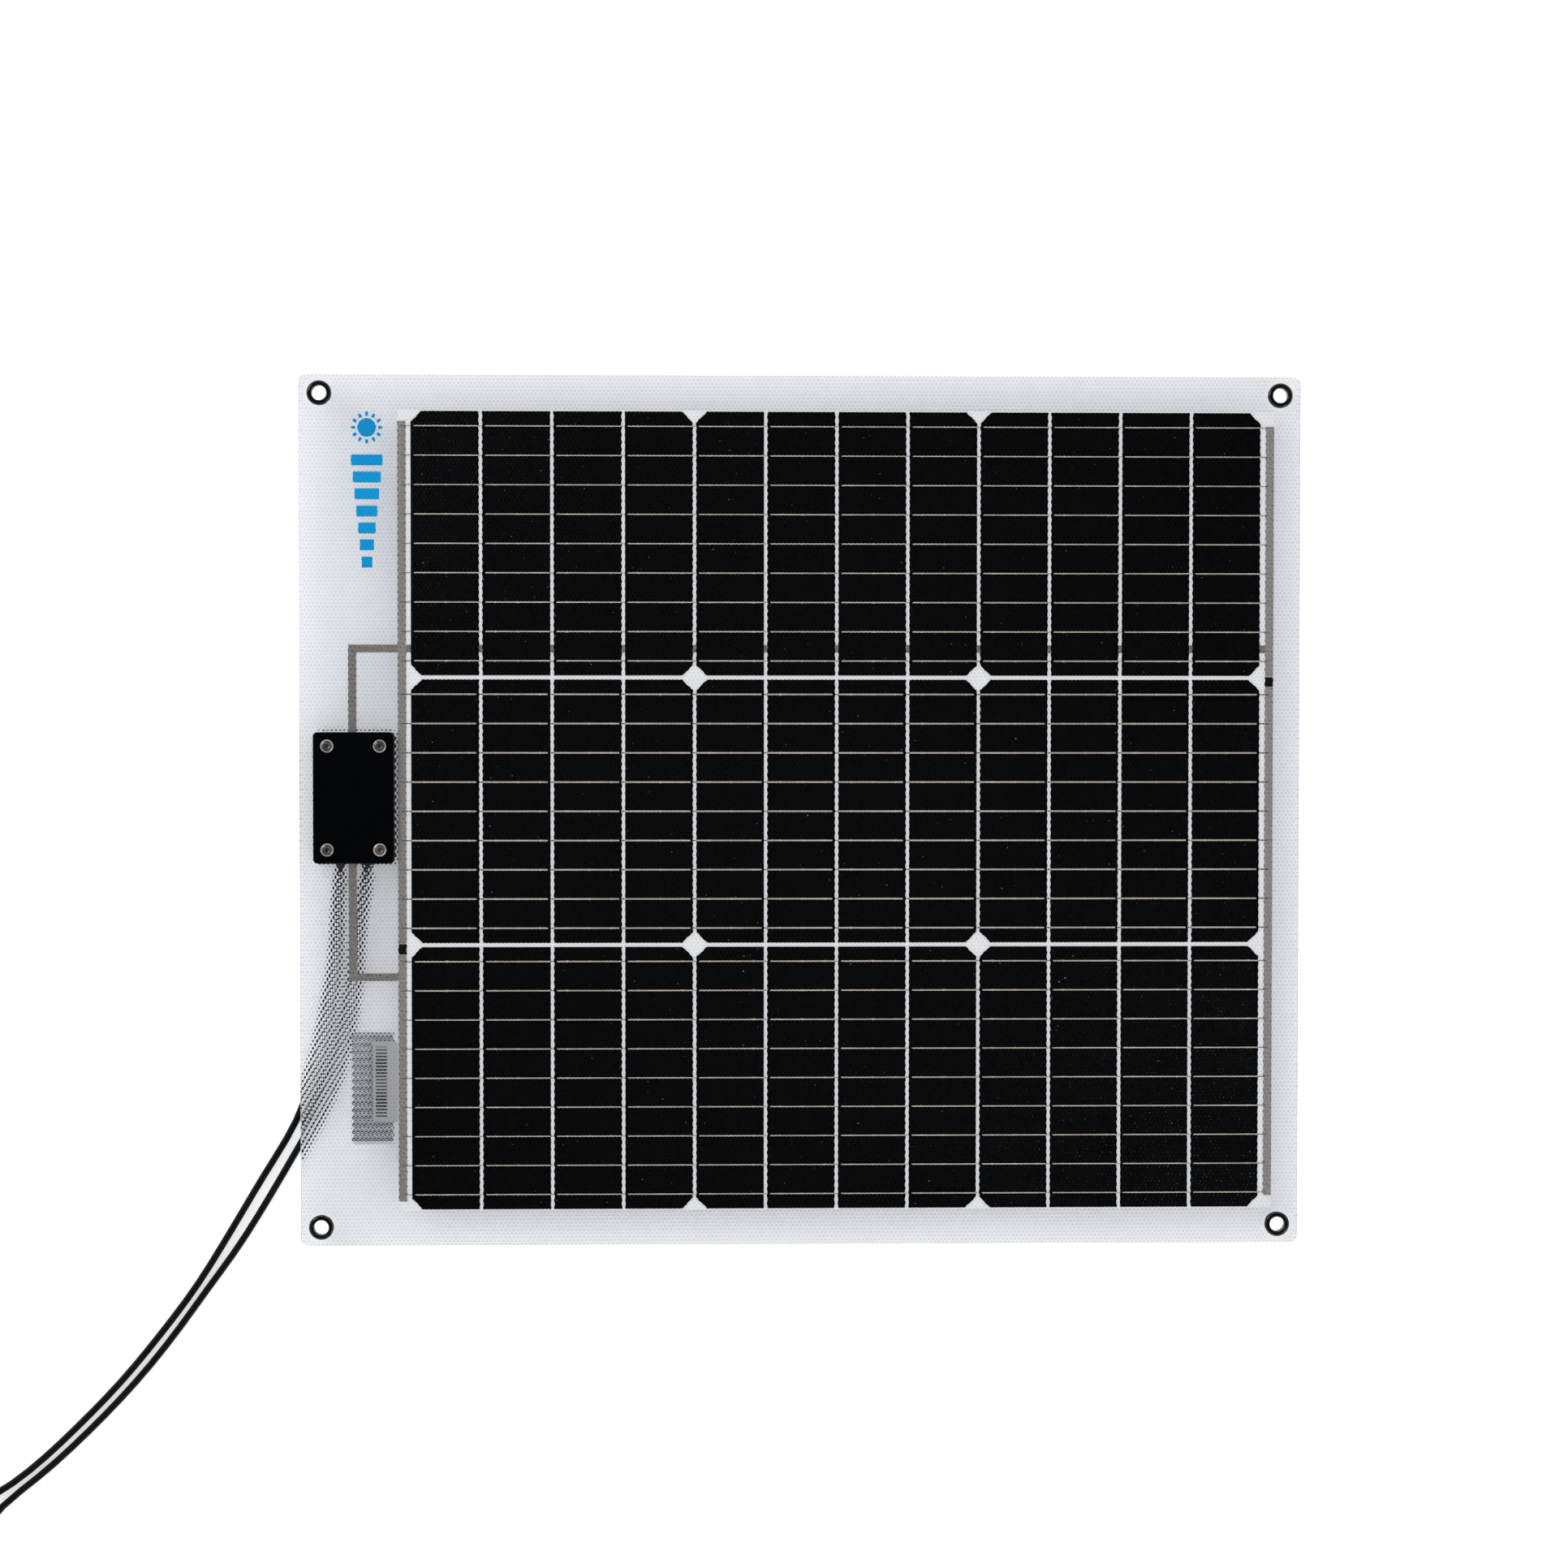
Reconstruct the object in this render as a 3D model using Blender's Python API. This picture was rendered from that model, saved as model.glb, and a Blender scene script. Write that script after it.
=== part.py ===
"""Semi-flexible solar sheet: 36 quarter-cut cells in three rows, laminated
between an embossed front film and a backing sheet, with a slim rear junction
box clamped through the left margin by a cover plate and four screws.

Metres, +Z up.  The sheet lies flat, face up.  The origin is the centre of the
sheet in X and Y, at the level of the junction box's underside.
The laminate bends about lines parallel to Y: it is divided into four sections
at three bend lines, each in the gap between two columns of cells, so that the
cells bend and the two margins stay flat.
"""
import math
import bpy
import bmesh
import numpy as np
from mathutils import Matrix, Vector

MM = 0.001

# ----------------------------------------------------------------- dimensions
SHEET_W = 604.0            # along X
SHEET_H = 525.0            # along Y
SHEET_R = 4.5              # corner radius

GAP = 0.3                  # clearance kept between touching pieces
BEND_GAP = 0.2             # half the gap at a bend line
BEND_X = (-150.25, 21.35, 192.95)      # gaps between columns 2-3, 6-7 and 10-11
BEND_Z = 13.45             # middle of the laminate's thickness

# laminate stack
BACK_Z = (12.2, 12.7)
RIBBON_Z = (13.0, 13.15)
CELL_Z = (13.45, 13.65)
FILM_Z = (13.95, 14.7)

# cells: 12 strips a row, four strips to one wafer
STRIP_W = 40.6
STRIP_PITCH = 42.9
STRIP_X0 = -234.9
ROW_H = 158.75
ROW_Y0 = (81.825, -79.375, -240.575)      # lower edge of each row, top row first
CHAMFER = 6.4                             # pseudo-square wafer corner
WIRES = 9
WIRE_PITCH = ROW_H / WIRES
WIRE_W = 0.6
BUS_W = 5.0
BUS_LX = -243.0                           # left bus ribbons, left edge
BUS_RX = 281.1                            # right bus ribbons, left edge
LEAD_X = -270.3                           # ribbons that run to the junction box
LEAD_Y_TOP = 98.1
LEAD_Y_LOW = -100.0

# eyelets
EYE_X, EYE_Y = 289.7, 251.3
EYE_HOLE_R = 4.4
EYE_R = 7.45
EYE_SEAT_R = 5.3                          # hole in the laminate

# junction box
BOX_C = (-269.3, 8.2)
BOX_W, BOX_H, BOX_T = 48.7, 79.1, 11.0
BOX_WALL = 2.0
SCREW_DX, SCREW_DY = 15.8, 31.2
SCREW_R = 1.95
SCREW_HOLE_R = 2.3
HEAD_R = 3.97
COVER_Z = (15.8, 18.3)

# output cables
CABLE_R = 2.05
CABLE_X = (-278.5, -262.0)
CABLE_Z = 6.3                             # height of the two cable entries
FLOOR_Z = 2.1                             # cable centre when it lies on the ground
COIL_C = ((-526.5, -407.9), (-526.6, -474.4))
COIL_RI, COIL_RO, COIL_TOP = 18.4, 26.7, 8.3
TURN_R = 24.6                             # outermost turn
PLUG_R = 8.0

# Routes of the two cables in plan, from the box wall to where the coil starts:
# down beside each other, out under the left edge and away to the lower left.
ROUTE_1 = [(-278.5, -12.3, 6.3), (-278.5, -24.0, 6.3), (-278.7, -36.0, 6.3), (-279.7, -50.0, 6.1),
           (-280.6, -65.3, 5.5), (-281.9, -90.5, 4.1), (-285.6, -115.6, 2.8), (-290.8, -141.8, 2.1),
           (-297.2, -164.0, 2.1), (-304.6, -184.5, 2.1), (-323.9, -218.3, 2.1), (-338.1, -242.0, 2.1),
           (-352.3, -265.7, 2.1), (-367.4, -289.4, 2.1), (-388.0, -317.0, 2.1), (-412.0, -346.0, 2.1),
           (-440.0, -375.0, 2.1), (-468.0, -400.5, 2.1), (-486.0, -413.4, 2.1), (-500.9, -421.5, 2.1)]
ROUTE_2 = [(-262.0, 9.7, 6.3), (-262.0, -10.0, 6.3), (-262.0, -30.0, 6.3), (-263.0, -41.0, 6.2),
           (-264.8, -52.0, 6.0), (-268.0, -71.7, 5.0), (-271.2, -103.3, 3.1), (-274.0, -121.0, 2.4),
           (-279.4, -146.0, 2.1), (-288.8, -173.9, 2.1), (-303.4, -201.6, 2.1), (-327.1, -242.0, 2.1),
           (-342.2, -265.7, 2.1), (-359.3, -289.4, 2.1), (-380.5, -318.5, 2.1), (-406.0, -349.5, 2.1),
           (-435.0, -379.5, 2.1), (-464.5, -406.0, 2.1), (-481.5, -419.8, 2.1), (-494.0, -433.5, 2.1),
           (-500.2, -446.0, 2.1), (-502.0, -459.0, 2.1)]
CABLE_POINTS = 39                         # points on each cable's curve

for ob in list(bpy.data.objects):
    bpy.data.objects.remove(ob, do_unlink=True)

COLL = bpy.context.scene.collection
MATS = {}


# ------------------------------------------------------------------- helpers
def material(name, rgb, rough, metal=0.0):
    if name not in MATS:
        m = bpy.data.materials.new(name)
        m.use_nodes = True
        p = next(n for n in m.node_tree.nodes if n.type == 'BSDF_PRINCIPLED')
        p.inputs['Base Color'].default_value = (*rgb, 1.0)
        p.inputs['Roughness'].default_value = rough
        p.inputs['Metallic'].default_value = metal
        MATS[name] = m
    return MATS[name]


def add(name, bm, mat, smooth=None):
    """A closed mesh becomes a named object with its material."""
    bmesh.ops.recalc_face_normals(bm, faces=bm.faces)
    me = bpy.data.meshes.new(name)
    bm.to_mesh(me)
    bm.free()
    ob = bpy.data.objects.new(name, me)
    COLL.objects.link(ob)
    if mat is not None:
        me.materials.append(mat)
    if smooth is not None:
        me.shade_smooth()
        me.set_sharp_from_angle(angle=math.radians(smooth))
    return ob


def rect(x0, y0, x1, y1, r=0.0, corners='1234', n=4):
    """Outline in mm; corners 1-4 are lower left, lower right, upper right,
    upper left, and those named are rounded to r."""
    out = []
    spec = (('1', x0, y0, 180), ('2', x1, y0, 270), ('3', x1, y1, 0), ('4', x0, y1, 90))
    for key, cx, cy, a0 in spec:
        if r > 0 and key in corners:
            ox = cx + (r if key in '14' else -r)
            oy = cy + (r if key in '12' else -r)
            for i in range(n + 1):
                a = math.radians(a0 + 90.0 * i / n)
                out.append((ox + r * math.cos(a), oy + r * math.sin(a)))
        else:
            out.append((cx, cy))
    return out


def circle(cx, cy, r, n=16):
    return [(cx + r * math.cos(2 * math.pi * i / n), cy + r * math.sin(2 * math.pi * i / n))
            for i in range(n)]


def slab_bm(bm, loops, z0, z1):
    """Extrude a flat outline with holes from z0 to z1 (mm)."""
    edges = []
    for loop in loops:
        vs = [bm.verts.new((x * MM, y * MM, z0 * MM)) for x, y in loop]
        edges += [bm.edges.new((vs[i], vs[(i + 1) % len(vs)])) for i in range(len(vs))]
    res = bmesh.ops.triangle_fill(bm, use_beauty=True, use_dissolve=False, edges=edges)
    faces = [g for g in res['geom'] if isinstance(g, bmesh.types.BMFace)]
    ext = bmesh.ops.extrude_face_region(bm, geom=faces)
    top = [g for g in ext['geom'] if isinstance(g, bmesh.types.BMVert)]
    bmesh.ops.translate(bm, verts=top, vec=(0, 0, (z1 - z0) * MM))
    return bm


def slab(name, loops, z0, z1, mat):
    return add(name, slab_bm(bmesh.new(), loops, z0, z1), mat)


def turned(name, profile, centre, axis, mat, segs=16, smooth=35, closed=False, flat=False):
    """Spin a profile of (radius, height) in mm about an axis through centre."""
    bm = bmesh.new()
    vs = [bm.verts.new((r * MM, 0, h * MM)) for r, h in profile]
    es = [bm.edges.new((vs[i], vs[i + 1])) for i in range(len(vs) - 1)]
    if closed:
        es.append(bm.edges.new((vs[-1], vs[0])))
    bmesh.ops.spin(bm, geom=vs + es, cent=(0, 0, 0), axis=(0, 0, 1), dvec=(0, 0, 0),
                   angle=2 * math.pi, steps=segs, use_duplicate=False)
    bmesh.ops.remove_doubles(bm, verts=bm.verts, dist=0.00001)
    bmesh.ops.dissolve_degenerate(bm, edges=bm.edges, dist=0.000001)
    rot = Vector((0, 0, 1)).rotation_difference(Vector(axis)).to_matrix().to_4x4()
    bmesh.ops.transform(bm, matrix=Matrix.Translation(Vector(centre) * MM) @ rot, verts=bm.verts)
    return add(name, bm, mat, smooth=smooth)


def cutter(ob):
    ob.hide_render = True
    ob.display_type = 'WIRE'
    return ob


def boolean(ob, other, operation):
    mod = ob.modifiers.new(operation.lower(), 'BOOLEAN')
    mod.operation = operation
    mod.solver = 'EXACT'
    mod.object = cutter(other)
    return ob


def smooth_curve(points, count):
    """Natural cubic spline through the route's points, read at equal steps."""
    p = np.array(points, float)
    t = np.concatenate([[0.0], np.cumsum(np.linalg.norm(np.diff(p, axis=0), axis=1))])
    n = len(t)
    h = np.diff(t)
    a = np.zeros((n, n))
    b = np.zeros((n, 3))
    a[0, 0] = a[-1, -1] = 1.0
    for i in range(1, n - 1):
        a[i, i - 1] = h[i - 1]
        a[i, i] = 2 * (h[i - 1] + h[i])
        a[i, i + 1] = h[i]
        b[i] = 6 * ((p[i + 1] - p[i]) / h[i] - (p[i] - p[i - 1]) / h[i - 1])
    m = np.linalg.solve(a, b)

    def at(s):
        i = min(max(int(np.searchsorted(t, s)) - 1, 0), n - 2)
        u, v = t[i + 1] - s, s - t[i]
        return ((m[i] * u ** 3 + m[i + 1] * v ** 3) / (6 * h[i])
                + (p[i] / h[i] - m[i] * h[i] / 6) * u + (p[i + 1] / h[i] - m[i + 1] * h[i] / 6) * v)

    fine = np.array([at(s) for s in np.linspace(0, t[-1], 1200)])
    d = np.concatenate([[0.0], np.cumsum(np.linalg.norm(np.diff(fine, axis=0), axis=1))])
    want = np.linspace(0, d[-1], count)
    return np.stack([np.interp(want, d, fine[:, k]) for k in range(3)], axis=1)


def tube(name, points, radius, mat):
    cu = bpy.data.curves.new(name, 'CURVE')
    cu.dimensions = '3D'
    cu.bevel_depth = radius * MM
    cu.bevel_resolution = 2
    cu.use_fill_caps = True
    cu.twist_mode = 'MINIMUM'
    sp = cu.splines.new('POLY')
    sp.points.add(len(points) - 1)
    for q, pt in zip(sp.points, points):
        q.co = (pt[0] * MM, pt[1] * MM, pt[2] * MM, 1.0)
    sp.use_smooth = True
    ob = bpy.data.objects.new(name, cu)
    COLL.objects.link(ob)
    cu.materials.append(mat)
    return ob


# ----------------------------------------------------------------- materials
FILM = material('front_film', (0.86, 0.88, 0.90), 0.35)
BACK = material('back_sheet', (0.90, 0.91, 0.92), 0.5)
CELL = material('solar_cell', (0.012, 0.013, 0.016), 0.25)
RIBBON = material('tinned_ribbon', (0.42, 0.41, 0.40), 0.4, 1.0)
TAPE = material('black_tape', (0.01, 0.01, 0.01), 0.6)
EYELET = material('eyelet_black', (0.012, 0.012, 0.012), 0.15)
COVER = material('cover_black', (0.006, 0.007, 0.008), 0.35)
HOUSING = material('housing_black', (0.015, 0.015, 0.016), 0.5)
STEEL = material('stainless', (0.62, 0.60, 0.58), 0.3, 1.0)
SEAL = material('seal_foam', (0.03, 0.03, 0.03), 0.8)
BRASS = material('terminal_brass', (0.72, 0.52, 0.22), 0.35, 1.0)
DIODE = material('diode_body', (0.02, 0.02, 0.022), 0.4)
RUBBER = material('grommet_rubber', (0.012, 0.012, 0.012), 0.7)
JACKET = material('cable_jacket', (0.008, 0.008, 0.009), 0.45)
PLUG = material('connector_black', (0.012, 0.012, 0.013), 0.45)
LABEL = material('label_silver', (0.55, 0.56, 0.58), 0.4)
STICKER = material('sticker_grey', (0.50, 0.50, 0.51), 0.6)

# ------------------------------------------------- laminate: film and backing
W2, H2 = SHEET_W / 2, SHEET_H / 2
BX, BY = BOX_C
SCREWS = [(BX + sx * SCREW_DX, BY + sy * SCREW_DY) for sy in (1, -1) for sx in (-1, 1)]
SPANS = [(-W2, BEND_X[0] - BEND_GAP), (BEND_X[0] + BEND_GAP, BEND_X[1] - BEND_GAP),
         (BEND_X[1] + BEND_GAP, BEND_X[2] - BEND_GAP), (BEND_X[2] + BEND_GAP, W2)]
PLACES = ('left', 'centre_left', 'centre_right', 'right')
COLUMNS = ((0, 1), (2, 3, 4, 5), (6, 7, 8, 9), (10, 11))

TERM_NEG_Y = (-12.0, -4.0)                # terminal blocks, Y
TERM_POS_Y = (10.0, 18.0)
SLOT_LOW = rect(LEAD_X - 3.1, TERM_NEG_Y[0] - 1.2, LEAD_X + 3.1, TERM_NEG_Y[0] + 0.3)
SLOT_TOP = rect(LEAD_X - 3.1, TERM_POS_Y[1] - 0.3, LEAD_X + 3.1, TERM_POS_Y[1] + 1.2)

for (x0, x1), place in zip(SPANS, PLACES):
    corners = '14' if place == 'left' else ('23' if place == 'right' else '')
    outline = rect(x0, -H2, x1, H2, SHEET_R, corners)
    holes = []
    if corners:
        side = -1 if place == 'left' else 1
        holes = [circle(side * EYE_X, sy * EYE_Y, EYE_SEAT_R, 20) for sy in (1, -1)]
    if place == 'left':
        holes += [circle(x, y, SCREW_HOLE_R, 12) for x, y in SCREWS]
    slab('front_film_' + place, [outline] + holes, *FILM_Z, FILM)
    if place == 'left':
        holes = holes + [SLOT_LOW, SLOT_TOP]
    slab('back_sheet_' + place, [outline] + holes, *BACK_Z, BACK)


# ------------------------------------------------------------- cells and wires
def string_outline(cols, row, stub_left, stub_right):
    """Plan of neighbouring strips in one row, joined by the nine wires that
    cross each gap.  Returns the outer loop and the loops between the wires.
    Four strips make one wafer, whose outer corners are cut off."""
    y0 = ROW_Y0[row]
    y1 = y0 + ROW_H
    c = CHAMFER
    half = WIRE_W / 2
    xs = {i: (STRIP_X0 + STRIP_PITCH * i, STRIP_X0 + STRIP_PITCH * i + STRIP_W) for i in cols}
    wy = [y0 + WIRE_PITCH * (k + 0.5) for k in range(WIRES)]
    outer = []
    for i in cols:                                   # along the lower edge
        x0, x1 = xs[i]
        outer += [(x0, y0 + c), (x0 + c, y0)] if i % 4 == 0 else [(x0, y0)]
        outer += [(x1 - c, y0), (x1, y0 + c)] if i % 4 == 3 else [(x1, y0)]
        if i != cols[-1]:
            outer += [(x1, wy[0] - half), (xs[i + 1][0], wy[0] - half)]
    if stub_right:
        x1 = xs[cols[-1]][1]
        for y in wy:
            outer += [(x1, y - half), (stub_right, y - half), (stub_right, y + half), (x1, y + half)]
    for i in reversed(cols):                         # back along the upper edge
        x0, x1 = xs[i]
        outer += [(x1, y1 - c), (x1 - c, y1)] if i % 4 == 3 else [(x1, y1)]
        outer += [(x0 + c, y1), (x0, y1 - c)] if i % 4 == 0 else [(x0, y1)]
        if i != cols[0]:
            outer += [(x0, wy[-1] + half), (xs[i - 1][1], wy[-1] + half)]
    if stub_left:
        x0 = xs[cols[0]][0]
        for y in reversed(wy):
            outer += [(x0, y + half), (stub_left, y + half), (stub_left, y - half), (x0, y - half)]
    gaps = [rect(xs[i][1], wy[k] + half, xs[i + 1][0], wy[k + 1] - half)
            for i in cols[:-1] for k in range(WIRES - 1)]
    return [outer] + gaps


for cols, place in zip(COLUMNS, PLACES):
    for row in range(3):
        left = BUS_LX + BUS_W + GAP if place == 'left' else None
        right = BUS_RX - GAP if place == 'right' else None
        slab('cells_row%d_%s' % (row + 1, place), string_outline(cols, row, left, right), *CELL_Z, CELL)

# --------------------------------------------------------------- bus ribbons
slab('bus_left_upper', [rect(BUS_LX, -79.7, BUS_LX + BUS_W, 234.8)], *CELL_Z, RIBBON)
slab('bus_left_lower', [rect(BUS_LX, -235.7, BUS_LX + BUS_W, -86.5)], *CELL_Z, RIBBON)
slab('bus_insulator_left', [rect(BUS_LX, -86.2, BUS_LX + BUS_W, -80.0)], *CELL_Z, TAPE)
slab('bus_right_upper', [rect(BUS_RX, 81.6, BUS_RX + BUS_W, 232.7)], *CELL_Z, RIBBON)
slab('bus_right_lower', [rect(BUS_RX, -233.6, BUS_RX + BUS_W, 75.0)], *CELL_Z, RIBBON)
slab('bus_insulator_right', [rect(BUS_RX, 75.3, BUS_RX + BUS_W, 81.3)], *CELL_Z, TAPE)

# Ribbons that return to the box.  The upper one runs behind the top row.
B2 = BUS_W / 2
lead = slab('lead_ribbon_upper', [[(LEAD_X - B2, TERM_POS_Y[1] + 0.3), (LEAD_X + B2, TERM_POS_Y[1] + 0.3),
                                   (LEAD_X + B2, LEAD_Y_TOP - B2), (BEND_X[0] - BEND_GAP, LEAD_Y_TOP - B2),
                                   (BEND_X[0] - BEND_GAP, LEAD_Y_TOP + B2), (LEAD_X - B2, LEAD_Y_TOP + B2)]],
            *RIBBON_Z, RIBBON)
tab = slab('tab_upper_guide', [rect(LEAD_X - B2, TERM_POS_Y[1] + 0.3, LEAD_X + B2, TERM_POS_Y[1] + 0.6)],
           6.0, RIBBON_Z[1], None)
boolean(lead, tab, 'UNION')
lead = slab('lead_ribbon_lower', [[(LEAD_X + B2, TERM_NEG_Y[0] - 0.3), (LEAD_X - B2, TERM_NEG_Y[0] - 0.3),
                                   (LEAD_X - B2, LEAD_Y_LOW - B2), (BUS_LX + BUS_W - 0.3, LEAD_Y_LOW - B2),
                                   (BUS_LX + BUS_W - 0.3, LEAD_Y_LOW + B2), (LEAD_X + B2, LEAD_Y_LOW + B2)]],
            *RIBBON_Z, RIBBON)
tab = slab('tab_lower_guide', [rect(LEAD_X - B2, TERM_NEG_Y[0] - 0.6, LEAD_X + B2, TERM_NEG_Y[0] - 0.3)],
           6.0, RIBBON_Z[1], None)
boolean(lead, tab, 'UNION')
for (x0, x1), place in zip(SPANS[1:], PLACES[1:]):
    if place == 'right':
        x1 = BUS_RX + BUS_W
    slab('return_ribbon_' + place, [rect(x0, LEAD_Y_TOP - B2, x1, LEAD_Y_TOP + B2)],
         *RIBBON_Z, RIBBON)

# -------------------------------------------------------------------- labels
slab('rating_label', [rect(-271.3, -200.8, -246.2, -132.7, 1.0, n=2)], 11.7, 11.9, LABEL)
slab('serial_sticker', [rect(-258.6, -187.7, -243.5, -138.8)], 13.45, 13.55, STICKER)

# ------------------------------------------------------------------- eyelets
EYE_PROFILE = [(4.4, 11.0), (4.4, 15.7), (5.2, 16.3), (6.6, 16.1), (EYE_R, 15.0), (5.0, 15.0),
               (5.0, 11.9), (7.2, 11.9), (6.9, 11.0)]
for nm, sx, sy in (('top_left', -1, 1), ('top_right', 1, 1), ('bottom_left', -1, -1),
                   ('bottom_right', 1, -1)):
    turned('eyelet_' + nm, EYE_PROFILE, (sx * EYE_X, sy * EYE_Y, 0), (0, 0, 1), EYELET, segs=20,
           closed=True)

# -------------------------------------------------------------- junction box
hw, hh = BOX_W / 2, BOX_H / 2
box = slab('junction_box_housing', [rect(BX - hw, BY - hh, BX + hw, BY + hh, 3.0)], 0.0, BOX_T, HOUSING)
bm = bmesh.new()
iw, ih = hw - BOX_WALL, hh - BOX_WALL
slab_bm(bm, [rect(BX - iw, BY - ih, BX + iw, BY + ih, 1.5, n=2)]
        + [circle(x, y, 3.8, 14) for x, y in SCREWS], 2.0, BOX_T + 1.0)
for x, y in SCREWS:
    slab_bm(bm, [circle(x, y, SCREW_HOLE_R, 12)], 3.5, BOX_T + 1.0)
boolean(box, add('box_cavity_guide', bm, None), 'DIFFERENCE')
bm = bmesh.new()
for x in CABLE_X:
    bmesh.ops.create_cone(bm, cap_ends=True, segments=16, radius1=4.0 * MM, radius2=4.0 * MM,
                          depth=4.0 * MM,
                          matrix=Matrix.Translation(Vector((x, BY - hh + BOX_WALL / 2, CABLE_Z)) * MM)
                          @ Matrix.Rotation(math.pi / 2, 4, 'X'))
boolean(box, add('cable_entry_guide', bm, None), 'DIFFERENCE')

pad = rect(BX - hw + 1, BY - hh + 1, BX + hw - 1, BY + hh - 1, 2.0)
pad_holes = [circle(x, y, SCREW_HOLE_R, 12) for x, y in SCREWS]
slab('rear_seal_pad', [pad] + pad_holes + [SLOT_LOW, SLOT_TOP], BOX_T + GAP, 11.9, SEAL)
slab('front_gasket', [pad] + pad_holes, 15.0, 15.5, SEAL)
slab('cover_plate', [rect(BX - hw, BY - hh, BX + hw, BY + hh, 2.7, n=5)]
     + [circle(x, y, SCREW_HOLE_R, 12) for x, y in SCREWS], *COVER_Z, COVER)

z = COVER_Z[1] + GAP
SCREW_PROFILE = [(0, 5.0), (1.5, 5.0), (SCREW_R, 5.6), (SCREW_R, z), (HEAD_R, z), (HEAD_R, z + 0.4),
                 (3.5, z + 1.4), (2.4, z + 2.05), (0, z + 2.2)]
for i, (x, y) in enumerate(SCREWS):
    screw = turned('cover_screw_%d' % (i + 1), SCREW_PROFILE, (x, y, 0), (0, 0, 1), STEEL, segs=14)
    hexa = slab('hex_socket_guide_%d' % (i + 1), [circle(x, y, 1.45, 6)], z + 0.7, z + 3.0, None)
    boolean(screw, hexa, 'DIFFERENCE')

slab('terminal_negative', [rect(-282.0, TERM_NEG_Y[0], -266.0, TERM_NEG_Y[1], 0.8, n=2)], 2.3, 8.6, BRASS)
slab('terminal_positive', [rect(-273.5, TERM_POS_Y[0], -257.5, TERM_POS_Y[1], 0.8, n=2)], 2.3, 8.6, BRASS)
turned('bypass_diode', [(0, -3.7), (0.6, -3.7), (0.6, -1.5), (2.4, -1.3), (2.65, -0.9), (2.65, 6.9),
                        (2.4, 7.3), (0.6, 7.5), (0.6, 9.7), (0, 9.7)],
       (-269.0, 0.0, 5.3), (0, 1, 0), DIODE, segs=12)

GROMMET = [(2.4, -29.35), (3.7, -29.35), (3.7, -31.65), (4.9, -31.65), (4.9, -32.7), (4.2, -33.6),
           (2.4, -33.6)]
for i, x in enumerate(CABLE_X):
    turned('cable_grommet_%d' % (i + 1), GROMMET, (x, 0, CABLE_Z), (0, 1, 0), RUBBER, segs=16,
           closed=True)

# ------------------------------------------------------------ cables and plugs
for i, route in enumerate((ROUTE_1, ROUTE_2)):
    tube('output_cable_%d' % (i + 1), smooth_curve(route, CABLE_POINTS), CABLE_R, JACKET)

rm = (COIL_RI + COIL_RO) / 2
COIL_PROFILE = [(COIL_RI + 1.6, 0.05), (COIL_RO - 1.6, 0.05), (COIL_RO, 2.1), (COIL_RO - 0.6, 5.4),
                (rm + 1.9, COIL_TOP), (rm - 1.9, COIL_TOP), (COIL_RI + 0.6, 5.4), (COIL_RI, 2.1)]
for i, (cx, cy) in enumerate(COIL_C):
    turned('cable_coil_%d' % (i + 1), COIL_PROFILE, (cx, cy, 0), (0, 0, 1), JACKET, segs=24,
           closed=True, smooth=60)

BODY = [(0, 0), (3.2, 0), (3.4, 6.0), (7.0, 7.5), (7.2, 9.0), (7.2, 17.0), (6.0, 18.0), (6.0, 21.0),
        (PLUG_R, 22.0)]
SOCKET = BODY + [(PLUG_R, 36.0), (5.6, 36.6), (5.6, 50.0), (2.4, 50.0), (2.4, 38.0), (0, 38.0)]
PIN = BODY + [(PLUG_R, 46.0), (6.4, 46.0), (6.4, 28.0), (1.4, 28.0), (1.4, 42.0), (0.0, 43.0)]
REACH = 16.8                              # from the coil's centre line to the plug's tail
(c1x, c1y), (c2x, c2y) = COIL_C
turned('pv_socket', SOCKET, (c1x - TURN_R, c1y + REACH, PLUG_R + 0.05), (0, 1, 0), PLUG)
turned('pv_plug', PIN, (c2x - REACH, c2y - TURN_R, PLUG_R + 0.05), (-1, 0, 0), PLUG)
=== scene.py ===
import math
import bpy
import bmesh
import numpy as np
from mathutils import Vector, Matrix


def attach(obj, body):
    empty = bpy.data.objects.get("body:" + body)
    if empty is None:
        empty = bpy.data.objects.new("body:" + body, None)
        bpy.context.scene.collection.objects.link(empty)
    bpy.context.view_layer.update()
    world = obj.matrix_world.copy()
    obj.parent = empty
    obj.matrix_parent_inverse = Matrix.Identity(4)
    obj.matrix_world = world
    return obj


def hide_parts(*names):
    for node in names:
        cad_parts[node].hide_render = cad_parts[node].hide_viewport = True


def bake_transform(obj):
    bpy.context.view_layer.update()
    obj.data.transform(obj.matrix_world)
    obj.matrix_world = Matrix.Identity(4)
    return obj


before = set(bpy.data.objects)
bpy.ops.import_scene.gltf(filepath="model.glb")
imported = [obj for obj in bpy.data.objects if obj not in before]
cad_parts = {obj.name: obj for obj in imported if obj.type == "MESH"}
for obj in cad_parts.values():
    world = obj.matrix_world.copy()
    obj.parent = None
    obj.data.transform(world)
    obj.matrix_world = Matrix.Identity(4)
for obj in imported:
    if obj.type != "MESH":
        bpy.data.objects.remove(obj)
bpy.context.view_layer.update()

MM = 0.001
COLL = bpy.context.scene.collection
CABLE_D = 4.1

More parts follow.
